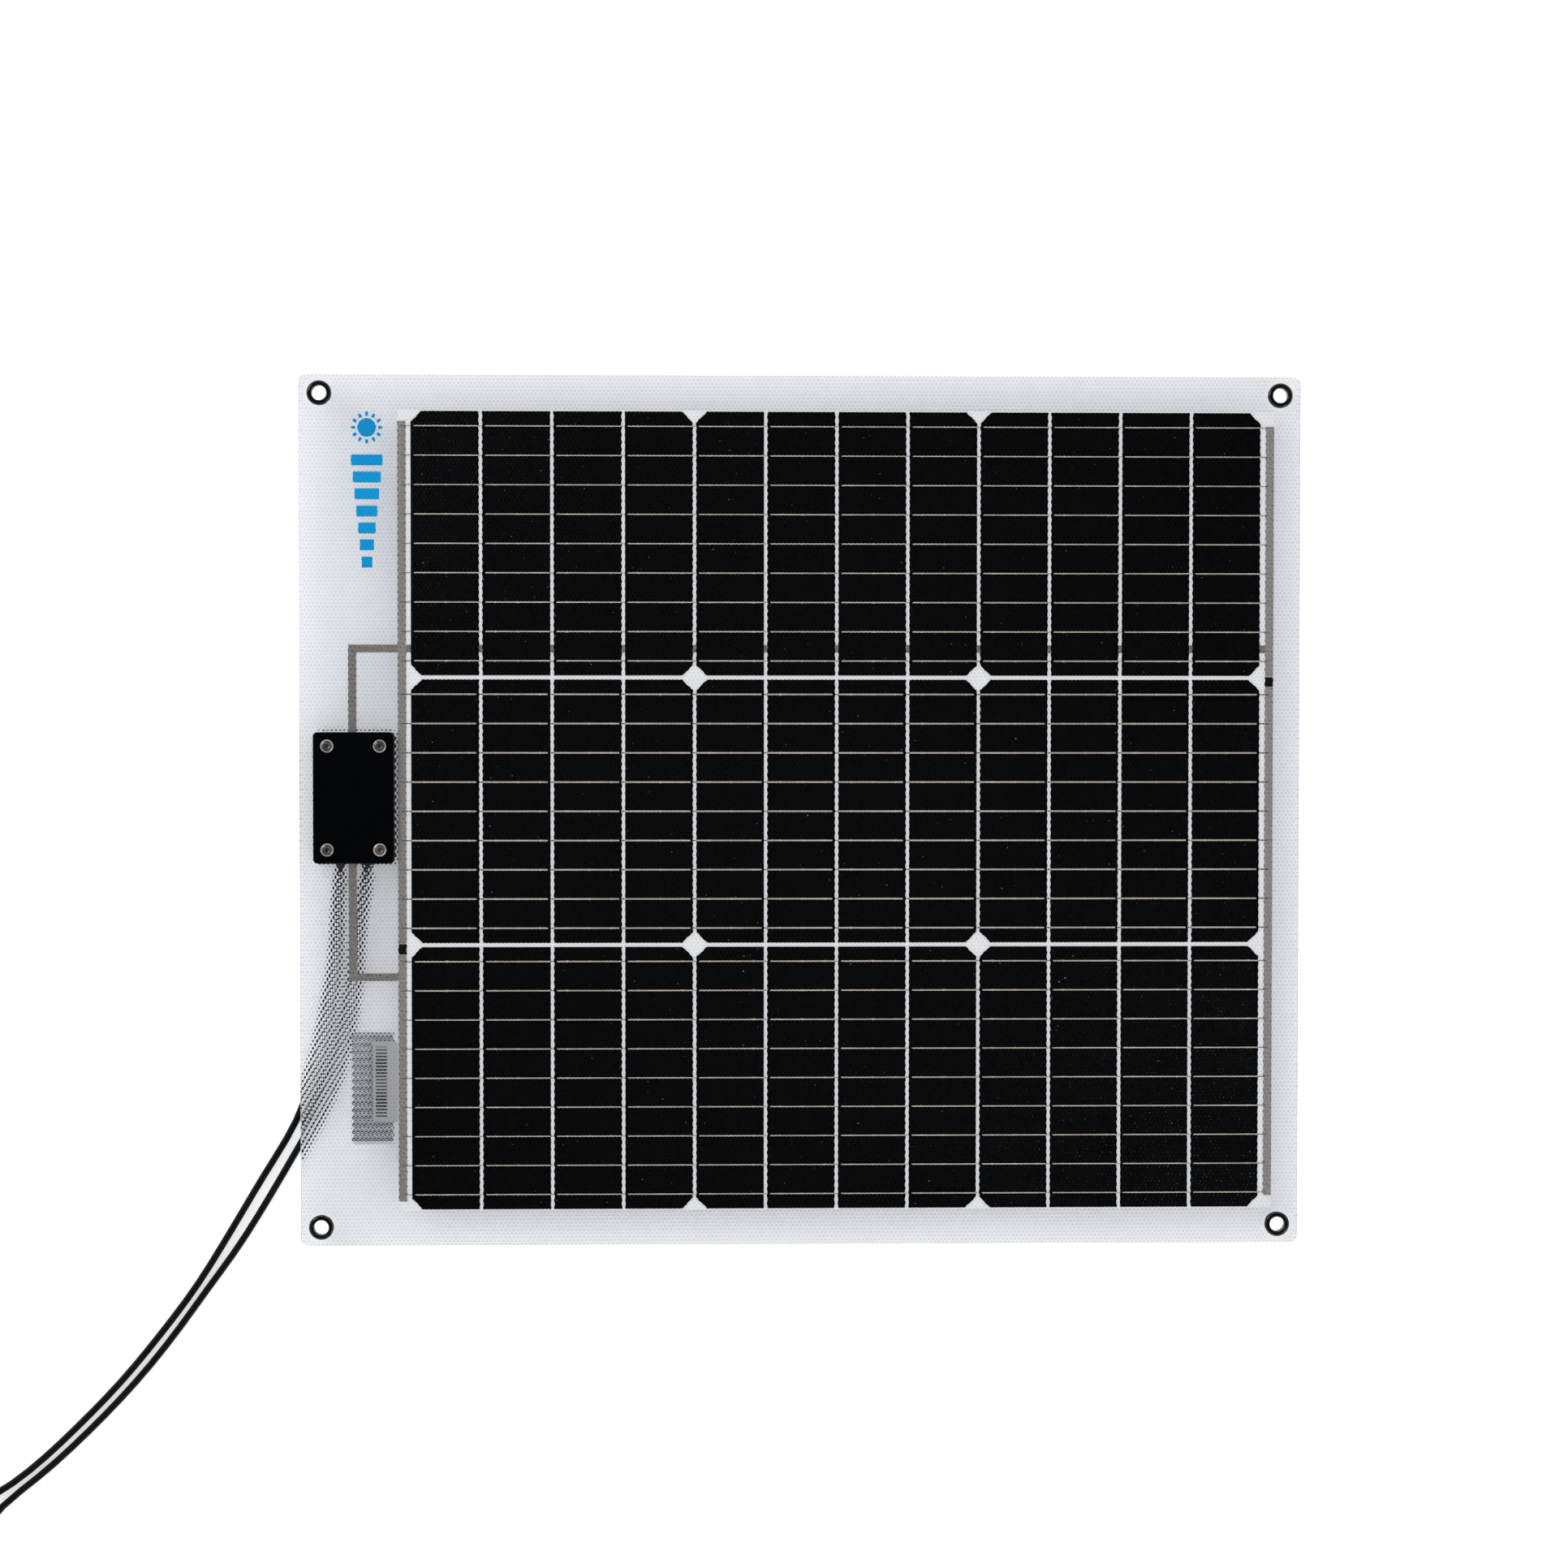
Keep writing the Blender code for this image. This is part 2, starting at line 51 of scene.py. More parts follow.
# bodies and the three bends: start and end of each bend's range in X (mm)
ZONES = {
    'a': ('left_section', 'centre_left_section', -236.05, -64.45, -302.0, -64.45),
    'b': ('centre_left_section', 'centre_right_section', -64.45, 107.15, -64.45, 107.15),
    'c': ('centre_right_section', 'right_section', 107.15, 278.75, 107.15, 302.0),
}
STRIP_W, STRIP_PITCH, STRIP_X0 = 40.6, 42.9, -234.9
ROW_H = 158.75
ROW_Y0 = (81.825, -79.375, -240.575)
CHAMFER = 6.4
BOX_C = (-269.3, 8.2)
BOX_W, BOX_H = 48.7, 79.1
SCREWS = [(BOX_C[0] + sx * 15.8, BOX_C[1] + sy * 31.2) for sy in (1, -1) for sx in (-1, 1)]
EYES = {'top_left': (-289.7, 251.3), 'top_right': (289.7, 251.3),
        'bottom_left': (-289.7, -251.3), 'bottom_right': (289.7, -251.3)}


# ======================================================================= nodes
class Mat:
    """A material and short ways to add its nodes."""

    def __init__(self, name):
        self.m = bpy.data.materials.new(name)
        self.m.use_nodes = True
        self.t = self.m.node_tree
        self.t.nodes.clear()
        self.out = self.t.nodes.new('ShaderNodeOutputMaterial')
        self._pos = None

    def n(self, kind, props=None, **inputs):
        node = self.t.nodes.new('ShaderNode' + kind)
        for k, v in (props or {}).items():
            setattr(node, k, v)
        for k, v in inputs.items():
            key = int(k[1:]) if k[0] == 'i' and k[1:].isdigit() else k.replace('_', ' ')
            sock = node.inputs[key]
            if isinstance(v, bpy.types.NodeSocket):
                self.t.links.new(v, sock)
            else:
                sock.default_value = v
        return node

    def pos(self):
        if self._pos is None:
            self._pos = self.n('TexCoord').outputs['Object']
        return self._pos

    def math(self, op, a, b=0.0, c=0.0, clamp=False):
        return self.n('Math', {'operation': op, 'use_clamp': clamp}, i0=a, i1=b, i2=c).outputs[0]

    def vmath(self, op, a, b=(0, 0, 0), c=(0, 0, 0)):
        node = self.n('VectorMath', {'operation': op})
        for i, v in enumerate((a, b, c)):
            if i >= len(node.inputs):
                break
            if isinstance(v, bpy.types.NodeSocket):
                self.t.links.new(v, node.inputs[i])
            else:
                node.inputs[i].default_value = v
        return node.outputs['Value' if op in ('LENGTH', 'DISTANCE', 'DOT_PRODUCT') else 'Vector']

    def range(self, v, a, b, c, d, kind='LINEAR'):
        return self.n('MapRange', {'interpolation_type': kind}, Value=v, From_Min=a, From_Max=b,
                      To_Min=c, To_Max=d).outputs['Result']

    def noise(self, scale, detail=3.0, rough=0.5, vec=None, stretch=None):
        v = vec if vec is not None else self.pos()
        if stretch:
            v = self.vmath('MULTIPLY', v, stretch)
        return self.n('TexNoise', Vector=v, Scale=scale, Detail=detail, Roughness=rough).outputs['Fac']

    def mix(self, fac, a, b):
        node = self.n('Mix', {'data_type': 'RGBA'})
        for key, v in (('Factor', fac), ('A', a), ('B', b)):
            sock = [s for s in node.inputs if s.name == key
                    and (s.type == 'RGBA' or (key == 'Factor' and s.type == 'VALUE'))][0]
            if isinstance(v, bpy.types.NodeSocket):
                self.t.links.new(v, sock)
            else:
                sock.default_value = (*v, 1.0) if key != 'Factor' and len(v) == 3 else v
        return [s for s in node.outputs if s.type == 'RGBA'][0]

    def bump(self, height, distance, strength=1.0, normal=None):
        node = self.n('Bump', Height=height, Distance=distance, Strength=strength)
        if normal is not None:
            self.t.links.new(normal, node.inputs['Normal'])
        return node.outputs['Normal']

    def surface(self, socket):
        self.t.links.new(socket, self.out.inputs['Surface'])
        return self.m

    def lattice(self):
        """Distance in metres to the nearest point of the film's dimple lattice."""
        flat = self.vmath('MULTIPLY', self.pos(), (1, 1, 0))
        p, h = 0.0025, 0.0022
        hi, lo = (p / 2, h, 1.0), (-p / 2, -h, -1.0)
        d1 = self.vmath('LENGTH', self.vmath('WRAP', flat, hi, lo))
        d2 = self.vmath('LENGTH', self.vmath('WRAP', self.vmath('ADD', flat, (p / 2, h, 0)), hi, lo))
        return self.math('MINIMUM', d1, d2)


def plastic(name, dark, light, rough, scale=900.0, bump=0.00002, metal=0.0, spread=0.08,
            stretch=None, spec=0.5, coat=0.0):
    """Moulded or brushed finish: mottled colour, uneven gloss and a fine grain."""
    M = Mat(name)
    grain = M.noise(scale, 4.0, 0.6, stretch=stretch)
    cloud = M.noise(scale / 25, 3.0, 0.5, stretch=stretch)
    colour = M.mix(M.range(cloud, 0.35, 0.65, 0, 1), dark, light)
    r = M.range(M.math('ADD', M.math('MULTIPLY', grain, 0.5), M.math('MULTIPLY', cloud, 0.5)),
                0.35, 0.65, rough - spread, rough + spread)
    p = M.n('BsdfPrincipled', Base_Color=colour, Roughness=r, Metallic=metal,
            Normal=M.bump(grain, bump))
    p.inputs['Specular IOR Level'].default_value = spec
    p.inputs['Coat Weight'].default_value = coat
    p.inputs['Coat Roughness'].default_value = 0.08
    return M.surface(p.outputs[0])


# ==================================================================== geometry
def link_mesh(name, me, mats, smooth=None):
    ob = bpy.data.objects.new(name, me)
    COLL.objects.link(ob)
    for m in (mats if isinstance(mats, (list, tuple)) else [mats]):
        me.materials.append(m)
    if smooth is not None:
        me.shade_smooth()
        me.set_sharp_from_angle(angle=math.radians(smooth))
    return ob


def from_lists(name, verts, faces, mats, smooth=None, index=None, recalc=False):
    me = bpy.data.meshes.new(name)
    me.from_pydata([(x * MM, y * MM, z * MM) for x, y, z in verts], [], faces)
    if index is not None:
        me.polygons.foreach_set('material_index', index)
    if recalc:
        bm = bmesh.new()
        bm.from_mesh(me)
        bmesh.ops.recalc_face_normals(bm, faces=bm.faces)
        bm.to_mesh(me)
        bm.free()
    me.update()
    return link_mesh(name, me, mats, smooth)


def rect(x0, y0, x1, y1, r=0.0, n=6, corners='1234'):
    out = []
    for key, cx, cy, a0 in (('1', x0, y0, 180), ('2', x1, y0, 270), ('3', x1, y1, 0), ('4', x0, y1, 90)):
        if r > 0 and key in corners:
            ox, oy = cx + (r if key in '14' else -r), cy + (r if key in '12' else -r)
            for i in range(n + 1):
                a = math.radians(a0 + 90.0 * i / n)
                out.append((ox + r * math.cos(a), oy + r * math.sin(a)))
        else:
            out.append((cx, cy))
    return out


def circle(cx, cy, r, n=48):
    return [(cx + r * math.cos(2 * math.pi * i / n), cy + r * math.sin(2 * math.pi * i / n))
            for i in range(n)]


def slab_bm(bm, loops, z0, z1, cuts=()):
    """Extrude an outline with holes; cuts are X lines where it can bend."""
    edges = []
    for loop in loops:
        vs = [bm.verts.new((x * MM, y * MM, z0 * MM)) for x, y in loop]
        edges += [bm.edges.new((vs[i], vs[(i + 1) % len(vs)])) for i in range(len(vs))]
    res = bmesh.ops.triangle_fill(bm, use_beauty=True, use_dissolve=False, edges=edges)
    faces = [g for g in res['geom'] if isinstance(g, bmesh.types.BMFace)]
    flat = set(faces)
    for x in cuts:
        geom = list({v for f in flat for v in f.verts}) + list({e for f in flat for e in f.edges}) + list(flat)
        before = set(bm.faces)
        bmesh.ops.bisect_plane(bm, geom=geom, dist=1e-7, plane_co=(x * MM, 0, 0), plane_no=(1, 0, 0))
        flat = {f for f in bm.faces if f in flat or f not in before}
    ext = bmesh.ops.extrude_face_region(bm, geom=list(flat))
    top = [g for g in ext['geom'] if isinstance(g, bmesh.types.BMVert)]
    bmesh.ops.translate(bm, verts=top, vec=(0, 0, (z1 - z0) * MM))
    bmesh.ops.recalc_face_normals(bm, faces=bm.faces)


def slab(name, groups, z0, z1, mats, cuts=(), smooth=30):
    """groups: a list of loop lists, each an outline and its holes."""
    whole = bpy.data.meshes.new(name)
    big = bmesh.new()
    for loops in groups:
        xs = [p[0] for p in loops[0]]
        bm = bmesh.new()
        slab_bm(bm, loops, z0, z1, [c for c in cuts if min(xs) + 0.3 < c < max(xs) - 0.3])
        tmp = bpy.data.meshes.new('t')
        bm.to_mesh(tmp)
        bm.free()
        big.from_mesh(tmp)
        bpy.data.meshes.remove(tmp)
    big.to_mesh(whole)
    big.free()
    return link_mesh(name, whole, mats, smooth)


def rings_mesh(name, rings, mats, smooth=35, cap_start=True, cap_end=True, closed=False, holes=None):
    """Skin between rings of equal length; holes go from the first to the last ring."""
    bm = bmesh.new()
    loops = [[bm.verts.new(Vector(p) * MM) for p in ring] for ring in rings]
    n = len(loops[0])
    pairs = list(zip(loops, loops[1:] + ([loops[0]] if closed else [])))
    if not closed:
        pairs = list(zip(loops[:-1], loops[1:]))
    for a, b in pairs:
        for i in range(n):
            j = (i + 1) % n
            quad = [a[i], a[j], b[j], b[i]]
            bm.faces.new(quad)
    if not closed:
        hole_loops = {0: [], -1: []}
        for ring in holes or []:
            lo = [bm.verts.new(Vector((x, y, rings[0][0][2])) * MM) for x, y in ring]
            hi = [bm.verts.new(Vector((x, y, rings[-1][0][2])) * MM) for x, y in ring]
            for i in range(len(ring)):
                j = (i + 1) % len(ring)
                bm.faces.new((lo[i], hi[i], hi[j], lo[j]))
            hole_loops[0].append(lo)
            hole_loops[-1].append(hi)
        for which, want in ((0, cap_start), (-1, cap_end)):
            if not want:
                continue
            if holes:
                edges = []
                for lp in [loops[which]] + hole_loops[which]:
                    edges += [bm.edges.get((lp[i], lp[(i + 1) % len(lp)])) for i in range(len(lp))]
                bmesh.ops.triangle_fill(bm, use_beauty=True, use_dissolve=False, edges=edges)
            else:
                bm.faces.new(loops[which])
    bmesh.ops.recalc_face_normals(bm, faces=bm.faces)
    me = bpy.data.meshes.new(name)
    bm.to_mesh(me)
    bm.free()
    return link_mesh(name, me, mats, smooth)


def rounded_slab(name, x0, y0, x1, y1, r, z0, z1, mats, top=0.5, bottom=0.2, steps=4, n=14,
                 holes=None, groove=None):
    """Slab with rounded corners and rounded rims."""
    rings = []

    def ring(inset, z):
        rr = max(r - inset, 0.05)
        rings.append([(x, y, z) for x, y in rect(x0 + inset, y0 + inset, x1 - inset, y1 - inset, rr, n)])
    if groove:
        ring(groove + 1.5, z0)
        ring(groove + 1.1, z0 + 0.5)
        ring(groove + 0.3, z0 + 0.5)
        ring(groove, z0)
    for i in range(steps + 1):
        a = math.pi / 2 * i / steps
        ring(bottom * (1 - math.sin(a)), z0 + bottom * (1 - math.cos(a)))
    for i in range(steps + 1):
        a = math.pi / 2 * i / steps
        ring(top * (1 - math.cos(a)), z1 - top * (1 - math.sin(a)))
    return rings_mesh(name, rings, mats, holes=holes)


def lathe(name, profile, centre, axis, mats, segs=64, closed=False, smooth=35, shape=None):
    """Turn (radius, height) about an axis; shape(height, angle) scales the radius."""
    rot = Vector((0, 0, 1)).rotation_difference(Vector(axis)).to_matrix()
    c = Vector(centre)
    rings, tips = [], []
    for r, h in profile:
        ring = []
        for i in range(segs):
            a = 2 * math.pi * i / segs
            k = shape(r, h, a) if shape else 1.0
            ring.append(tuple(c + rot @ Vector((max(r, 0.0) * k * math.cos(a), max(r, 0.0) * k * math.sin(a), h))))
        rings.append(ring)
    if not closed:
        rings = [ring for ring, (r, h) in zip(rings, profile) if r > 1e-6]
    return rings_mesh(name, rings, mats, smooth=smooth, closed=closed)


def frange(a, b, step):
    n = max(1, int(round((b - a) / step)))
    return [a + (b - a) * i / n for i in range(1, n)]


def zone_cuts(z):
    _, _, s, e, _, _ = ZONES[z]
    return [s] + frange(s, e, 6.1) + [e]


def bend(ob, z, *nodes, slot=None):
    if nodes:
        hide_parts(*nodes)
    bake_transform(ob)
    return ob


def fixed(ob, body, *nodes, slot=None):
    if nodes:
        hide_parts(*nodes)
    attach(ob, body)
    return ob


# =================================================================== materials
def film_material():
    """Embossed clear film: the dimples bend what lies behind, more the deeper
    it lies, and give fine glints. Lamps see it as a clear sheet."""
    M = Mat('embossed_film')
    d = M.lattice()
    cap = M.math('ADD', M.math('MULTIPLY', M.range(d, 0.0001, 0.0013, 1.0, 0.0, 'SMOOTHSTEP'), 0.5),
                 M.math('MULTIPLY', M.range(d, 0.0, 0.0014, 1.0, 0.0), 0.5))
    sep = M.n('SeparateXYZ', Vector=M.pos())
    ex = M.math('SUBTRACT', M.math('ABSOLUTE', sep.outputs['X']), 0.2897)
    ey = M.math('SUBTRACT', M.math('ABSOLUTE', sep.outputs['Y']), 0.2513)
    eye = M.vmath('LENGTH', M.n('CombineXYZ', X=ex, Y=ey).outputs[0])
    pressed = M.range(eye, 0.0088, 0.0106, 0.0, 1.0, 'SMOOTHSTEP')
    bx = M.math('SUBTRACT', M.math('ABSOLUTE', M.math('SUBTRACT', sep.outputs['X'], BOX_C[0] * MM)), BOX_W / 2 * MM)
    by = M.math('SUBTRACT', M.math('ABSOLUTE', M.math('SUBTRACT', sep.outputs['Y'], BOX_C[1] * MM)), BOX_H / 2 * MM)
    clamped = M.range(M.math('MAXIMUM', bx, by), 0.0005, 0.0110, 0.30, 1.0, 'SMOOTHSTEP')
    dimple = M.math('MULTIPLY', M.math('MULTIPLY', cap, pressed), clamped)
    wob = M.noise(40.0, 2.0)
    fine = M.noise(650.0, 2.0)
    height = M.math('ADD', dimple, M.math('MULTIPLY', wob, 0.6))
    height = M.math('ADD', height, M.math('MULTIPLY', fine, 0.22))
    deep = M.bump(height, 0.0013)
    soft = M.bump(height, 0.00034)
    # Painted shade: the tint is darker at each dimple's centre. It stands in for the dark dots the dimples make by
    # bending the light.
    painted_dimple_shade = M.math('MULTIPLY', M.range(d, 0.0002, 0.00105, 1.0, 0.0, 'SMOOTHSTEP'), pressed)
    tint = M.mix(painted_dimple_shade, (0.820, 0.822, 0.826), (0.690, 0.692, 0.697))
    bent = M.n('BsdfRefraction', Color=tint, Normal=deep, Roughness=M.range(wob, 0.3, 0.7, 0.0, 0.02))
    bent.inputs['IOR'].default_value = 1.45
    gloss = M.n('BsdfGlossy', Normal=soft, Roughness=M.range(fine, 0.3, 0.7, 0.06, 0.16))
    gloss.inputs['Color'].default_value = (0.8, 0.86, 0.95, 1)
    fres = M.n('Fresnel', Normal=soft)
    fres.inputs['IOR'].default_value = 1.22
    glass = M.n('MixShader', i0=fres.outputs[0], i1=bent.outputs[0], i2=gloss.outputs[0])
    clear = M.n('BsdfTransparent')
    clear.inputs['Color'].default_value = (0.957, 0.96, 0.968, 1)
    lp = M.n('LightPath')
    fac = M.math('MAXIMUM', lp.outputs['Is Shadow Ray'], lp.outputs['Is Diffuse Ray'])
    return M.surface(M.n('MixShader', i0=fac, i1=glass.outputs[0], i2=clear.outputs[0]).outputs[0])


def film_under_material():
    """Flat underside of the film, where it meets the backing."""
    M = Mat('film_underside')
    fine = M.noise(1300.0, 3.0)
    cloud = M.noise(25.0, 2.0)
    bent = M.n('BsdfRefraction', Color=M.mix(cloud, (0.95, 0.955, 0.965), (0.985, 0.987, 0.99)),
               Normal=M.bump(fine, 0.000006), Roughness=M.range(fine, 0.3, 0.7, 0.0, 0.02))
    bent.inputs['IOR'].default_value = 1.45
    clear = M.n('BsdfTransparent')
    clear.inputs['Color'].default_value = (0.957, 0.96, 0.968, 1)
    lp = M.n('LightPath')
    fac = M.math('MAXIMUM', lp.outputs['Is Shadow Ray'], lp.outputs['Is Diffuse Ray'])
    return M.surface(M.n('MixShader', i0=fac, i1=bent.outputs[0], i2=clear.outputs[0]).outputs[0])


def joint_material():
    """Inner ends where two lengths of clear sheet meet: nothing shows."""
    M = Mat('sheet_joint')
    cloud = M.noise(60.0, 2.0)
    clear = M.n('BsdfTransparent', Color=M.mix(cloud, (1.0, 1.0, 1.0), (0.999, 0.999, 1.0)))
    return M.surface(clear.outputs[0])


def edge_material():
    """Cut edge of the laminate: milky resin."""
    M = Mat('laminate_cut_edge')
    streak = M.noise(500.0, 3.0, stretch=(1, 1, 6))
    p = M.n('BsdfPrincipled', Base_Color=M.mix(streak, (0.62, 0.63, 0.66), (0.74, 0.75, 0.78)),
            Roughness=M.range(streak, 0.3, 0.7, 0.40, 0.60), Normal=M.bump(streak, 0.00003))
    p.inputs['Specular IOR Level'].default_value = 0.3
    return M.surface(p.outputs[0])


def backing_material():
    """Clear backing film with a faint haze and the imprint of the press cloth."""
    M = Mat('backing_film')
    cloud = M.noise(60.0, 3.0)
    fine = M.noise(1400.0, 3.0)
    white = M.n('BsdfPrincipled',
                Base_Color=M.mix(cloud, (0.60, 0.62, 0.66), (0.70, 0.71, 0.74)),
                Roughness=M.range(fine, 0.3, 0.7, 0.40, 0.60), Normal=M.bump(fine, 0.00003))
    white.inputs['Specular IOR Level'].default_value = 0.2
    clear = M.n('BsdfTransparent')
    clear.inputs['Color'].default_value = (0.922, 0.925, 0.932, 1)
    fac = M.range(cloud, 0.3, 0.7, 0.012, 0.028)
    return M.surface(M.n('MixShader', i0=fac, i1=clear.outputs[0], i2=white.outputs[0]).outputs[0])


def white_material():
    """White encapsulant that fills the gaps between the cells."""
    M = Mat('white_encapsulant')
    cloud = M.noise(45.0, 3.0)
    fine = M.noise(1200.0, 3.0)
    p = M.n('BsdfPrincipled', Base_Color=M.mix(cloud, (0.79, 0.795, 0.81), (0.86, 0.865, 0.88)),
            Roughness=M.range(fine, 0.3, 0.7, 0.5, 0.7), Normal=M.bump(fine, 0.00003))
    p.inputs['Specular IOR Level'].default_value = 0.1
    return M.surface(p.outputs[0])


def cell_material():
    M = Mat('silicon_cell')
    sep = M.n('SeparateXYZ', Vector=M.pos())
    finger = M.math('PINGPONG', sep.outputs['X'], 0.0006)
    line = M.range(finger, 0.0, 0.00012, 1.0, 0.0, 'SMOOTHSTEP')
    cloud = M.noise(30.0, 3.0)
    grain = M.noise(2500.0, 2.0)
    base = M.mix(M.range(cloud, 0.3, 0.7, 0, 1), (0.0004, 0.0005, 0.0007), (0.0008, 0.0008, 0.0010))
    colour = M.mix(M.math('MULTIPLY', line, 0.30), base, (0.010, 0.010, 0.012))
    # Painted highlights: sparse bluish-white specks at random points are put into the cell's colour as glints of light.
    vor = M.n('TexVoronoi', Vector=M.pos(), Scale=230.0)
    pick = M.n('SeparateColor', Color=vor.outputs['Color']).outputs[0]
    painted_glint = M.math('MULTIPLY', M.math('LESS_THAN', vor.outputs['Distance'], 0.048), M.math('GREATER_THAN', pick, 0.45))
    colour = M.mix(M.math('MULTIPLY', painted_glint, M.range(pick, 0.45, 1.0, 0.05, 0.75)), colour, (0.42, 0.50, 0.52))
    rough = M.range(grain, 0.3, 0.7, 0.20, 0.30)
    p = M.n('BsdfPrincipled', Base_Color=colour, Roughness=rough,
            Normal=M.bump(M.math('ADD', grain, line), 0.00001))
    p.inputs['Specular IOR Level'].default_value = 0.05
    return M.surface(p.outputs[0])


def ribbon_material(name, dark, light):
    M = Mat(name)
    speck = M.noise(1500.0, 4.0, 0.75)
    streak = M.noise(220.0, 3.0, 0.6)
    sep = M.n('SeparateXYZ', Vector=M.pos())
    slant = M.math('ADD', M.math('MULTIPLY', sep.outputs['X'], 0.75), sep.outputs['Y'])
    slant = M.math('ADD', slant, M.math('MULTIPLY', streak, 0.0012))
    hatch = M.math('DIVIDE', M.math('PINGPONG', slant, 0.00085), 0.00085)
    both = M.math('ADD', M.math('MULTIPLY', M.range(speck, 0.36, 0.64, 0, 1), 0.55), M.math('MULTIPLY', hatch, 0.45))
    colour = M.mix(both, dark, light)
    p = M.n('BsdfPrincipled', Base_Color=colour, Metallic=0.25,
            Roughness=M.range(streak, 0.3, 0.7, 0.38, 0.60), Normal=M.bump(speck, 0.00005))
    return M.surface(p.outputs[0])


def label_material(name, paper, ink, pitch, share, axis, box, sway=0.35, phase=0.0):
    """Plain bars, evenly spaced, inside a border; no lettering."""
    M = Mat(name)
    sep = M.n('SeparateXYZ', Vector=M.pos())
    run = M.math('ADD', sep.outputs[axis], phase)
    wave = M.math('MULTIPLY', M.math('PINGPONG', sep.outputs['X' if axis == 'Y' else 'Y'], 0.00125), sway)
    bars = M.math('PINGPONG', M.math('ADD', run, wave), pitch / 2)
    bar = M.range(bars, pitch * share * 0.5 - 0.00012, pitch * share * 0.5 + 0.00012, 1.0, 0.0)
    (x0, y0, x1, y1) = box
    cx, cy = (x0 + x1) / 2, (y0 + y1) / 2
    ex = M.math('LESS_THAN', M.math('ABSOLUTE', M.math('SUBTRACT', sep.outputs['X'], cx * MM)), (x1 - x0) / 2 * MM)
    ey = M.math('LESS_THAN', M.math('ABSOLUTE', M.math('SUBTRACT', sep.outputs['Y'], cy * MM)), (y1 - y0) / 2 * MM)
    inside = M.math('MULTIPLY', M.math('MULTIPLY', ex, ey), bar)
    fibre = M.noise(700.0, 3.0)
    base = M.mix(M.range(fibre, 0.3, 0.7, 0, 1), tuple(c * 0.9 for c in paper), paper)
    colour = M.mix(inside, base, ink)
    p = M.n('BsdfPrincipled', Base_Color=colour, Roughness=M.range(fibre, 0.3, 0.7, 0.45, 0.65),
            Normal=M.bump(fibre, 0.00002))
    return M.surface(p.outputs[0])


FILM = film_material()
BACK = backing_material()
WHITE = white_material()
EDGE = edge_material()
UNDER = film_under_material()
JOINT = joint_material()
CELL = cell_material()
WIRE = plastic('tinned_wire', (0.46, 0.41, 0.355), (0.63, 0.575, 0.51), 0.45, 700, 0.00002, metal=0.15)
# Painted shade: a darker copy of the tinned wire, used where the wire runs past a cell's edge and dips under the next
# strip.
WIRE_PAINTED_SHADE = plastic('wire_in_gap_painted_shade', (0.10, 0.085, 0.075), (0.17, 0.15, 0.13), 0.5, 700, 0.00002, metal=0.3)
RIBBON_L = ribbon_material('ribbon_left', (0.052, 0.047, 0.043), (0.45, 0.425, 0.40))
RIBBON_R = ribbon_material('ribbon_right', (0.060, 0.056, 0.053), (0.50, 0.48, 0.46))
RIBBON_D = ribbon_material('ribbon_lead', (0.050, 0.046, 0.042), (0.34, 0.32, 0.30))
TAPE = plastic('black_tape_weave', (0.004, 0.004, 0.004), (0.008, 0.008, 0.008), 0.6, 1600, 0.00003, spec=0.05)
EYELET = plastic('eyelet_gloss', (0.0015, 0.0015, 0.0017), (0.003, 0.003, 0.0032), 0.13, 1300, 0.00001,
                 spread=0.03, spec=0.3)
COVER = plastic('cover_satin', (0.0008, 0.0010, 0.0013), (0.0011, 0.0013, 0.0016), 0.26, 2200, 0.00001,
                spec=0.12, spread=0.015)
HOUSING = plastic('housing_moulded', (0.008, 0.008, 0.009), (0.014, 0.014, 0.015), 0.5, 1200, 0.00004)
STEEL = plastic('stainless_turned', (0.22, 0.197, 0.185), (0.36, 0.328, 0.31), 0.27, 1500, 0.00002, metal=0.9,
                spread=0.07)
SEAL = plastic('seal_foam_cells', (0.02, 0.02, 0.02), (0.04, 0.04, 0.04), 0.85, 1800, 0.0001)
BRASS = plastic('terminal_brass_cast', (0.55, 0.38, 0.14), (0.76, 0.57, 0.27), 0.33, 900, 0.00002, metal=1.0)
DIODE = plastic('diode_epoxy', (0.012, 0.012, 0.013), (0.022, 0.022, 0.024), 0.4, 900, 0.00002)
RUBBER = plastic('grommet_rubber_skin', (0.009, 0.009, 0.009), (0.016, 0.016, 0.016), 0.62, 1500, 0.00003)
JACKET = plastic('cable_jacket_skin', (0.0012, 0.0014, 0.0020), (0.0026, 0.0029, 0.0040), 0.50, 900, 0.00004, spec=0.10)
PLUG = plastic('connector_moulded', (0.009, 0.009, 0.010), (0.016, 0.016, 0.017), 0.42, 1300, 0.00003)
PRINT = plastic('print_blue', (0.003, 0.28, 0.60), (0.004, 0.32, 0.68), 0.5, 600, 0.00001, spec=0.08)
LABEL = label_material('rating_label_back', (0.80, 0.80, 0.80), (0.010, 0.010, 0.011), 0.0022, 0.28, 'Y',
                       (-271.0, -200.5, -246.5, -133.0), sway=0.2, phase=0.0005)
STICKER = label_material('serial_sticker_bars', (0.37, 0.37, 0.375), (0.03, 0.03, 0.03), 0.0020, 0.5, 'Y',
                         (-256.8, -184.5, -250.0, -142.0), sway=0.0)

# ====================================================================== camera
cam_data = bpy.data.cameras.new('camera')
cam_data.sensor_width = 36.0
cam_data.lens = 71.71
cam_data.clip_start = 0.05
cam = bpy.data.objects.new('camera', cam_data)
cam.location = (-0.060168, 0.062572, 1.9)
cam.rotation_euler = (-0.024439, -0.026344, 0.000509)
COLL.objects.link(cam)
bpy.context.scene.camera = cam
bpy.context.scene.view_settings.view_transform = 'Standard'

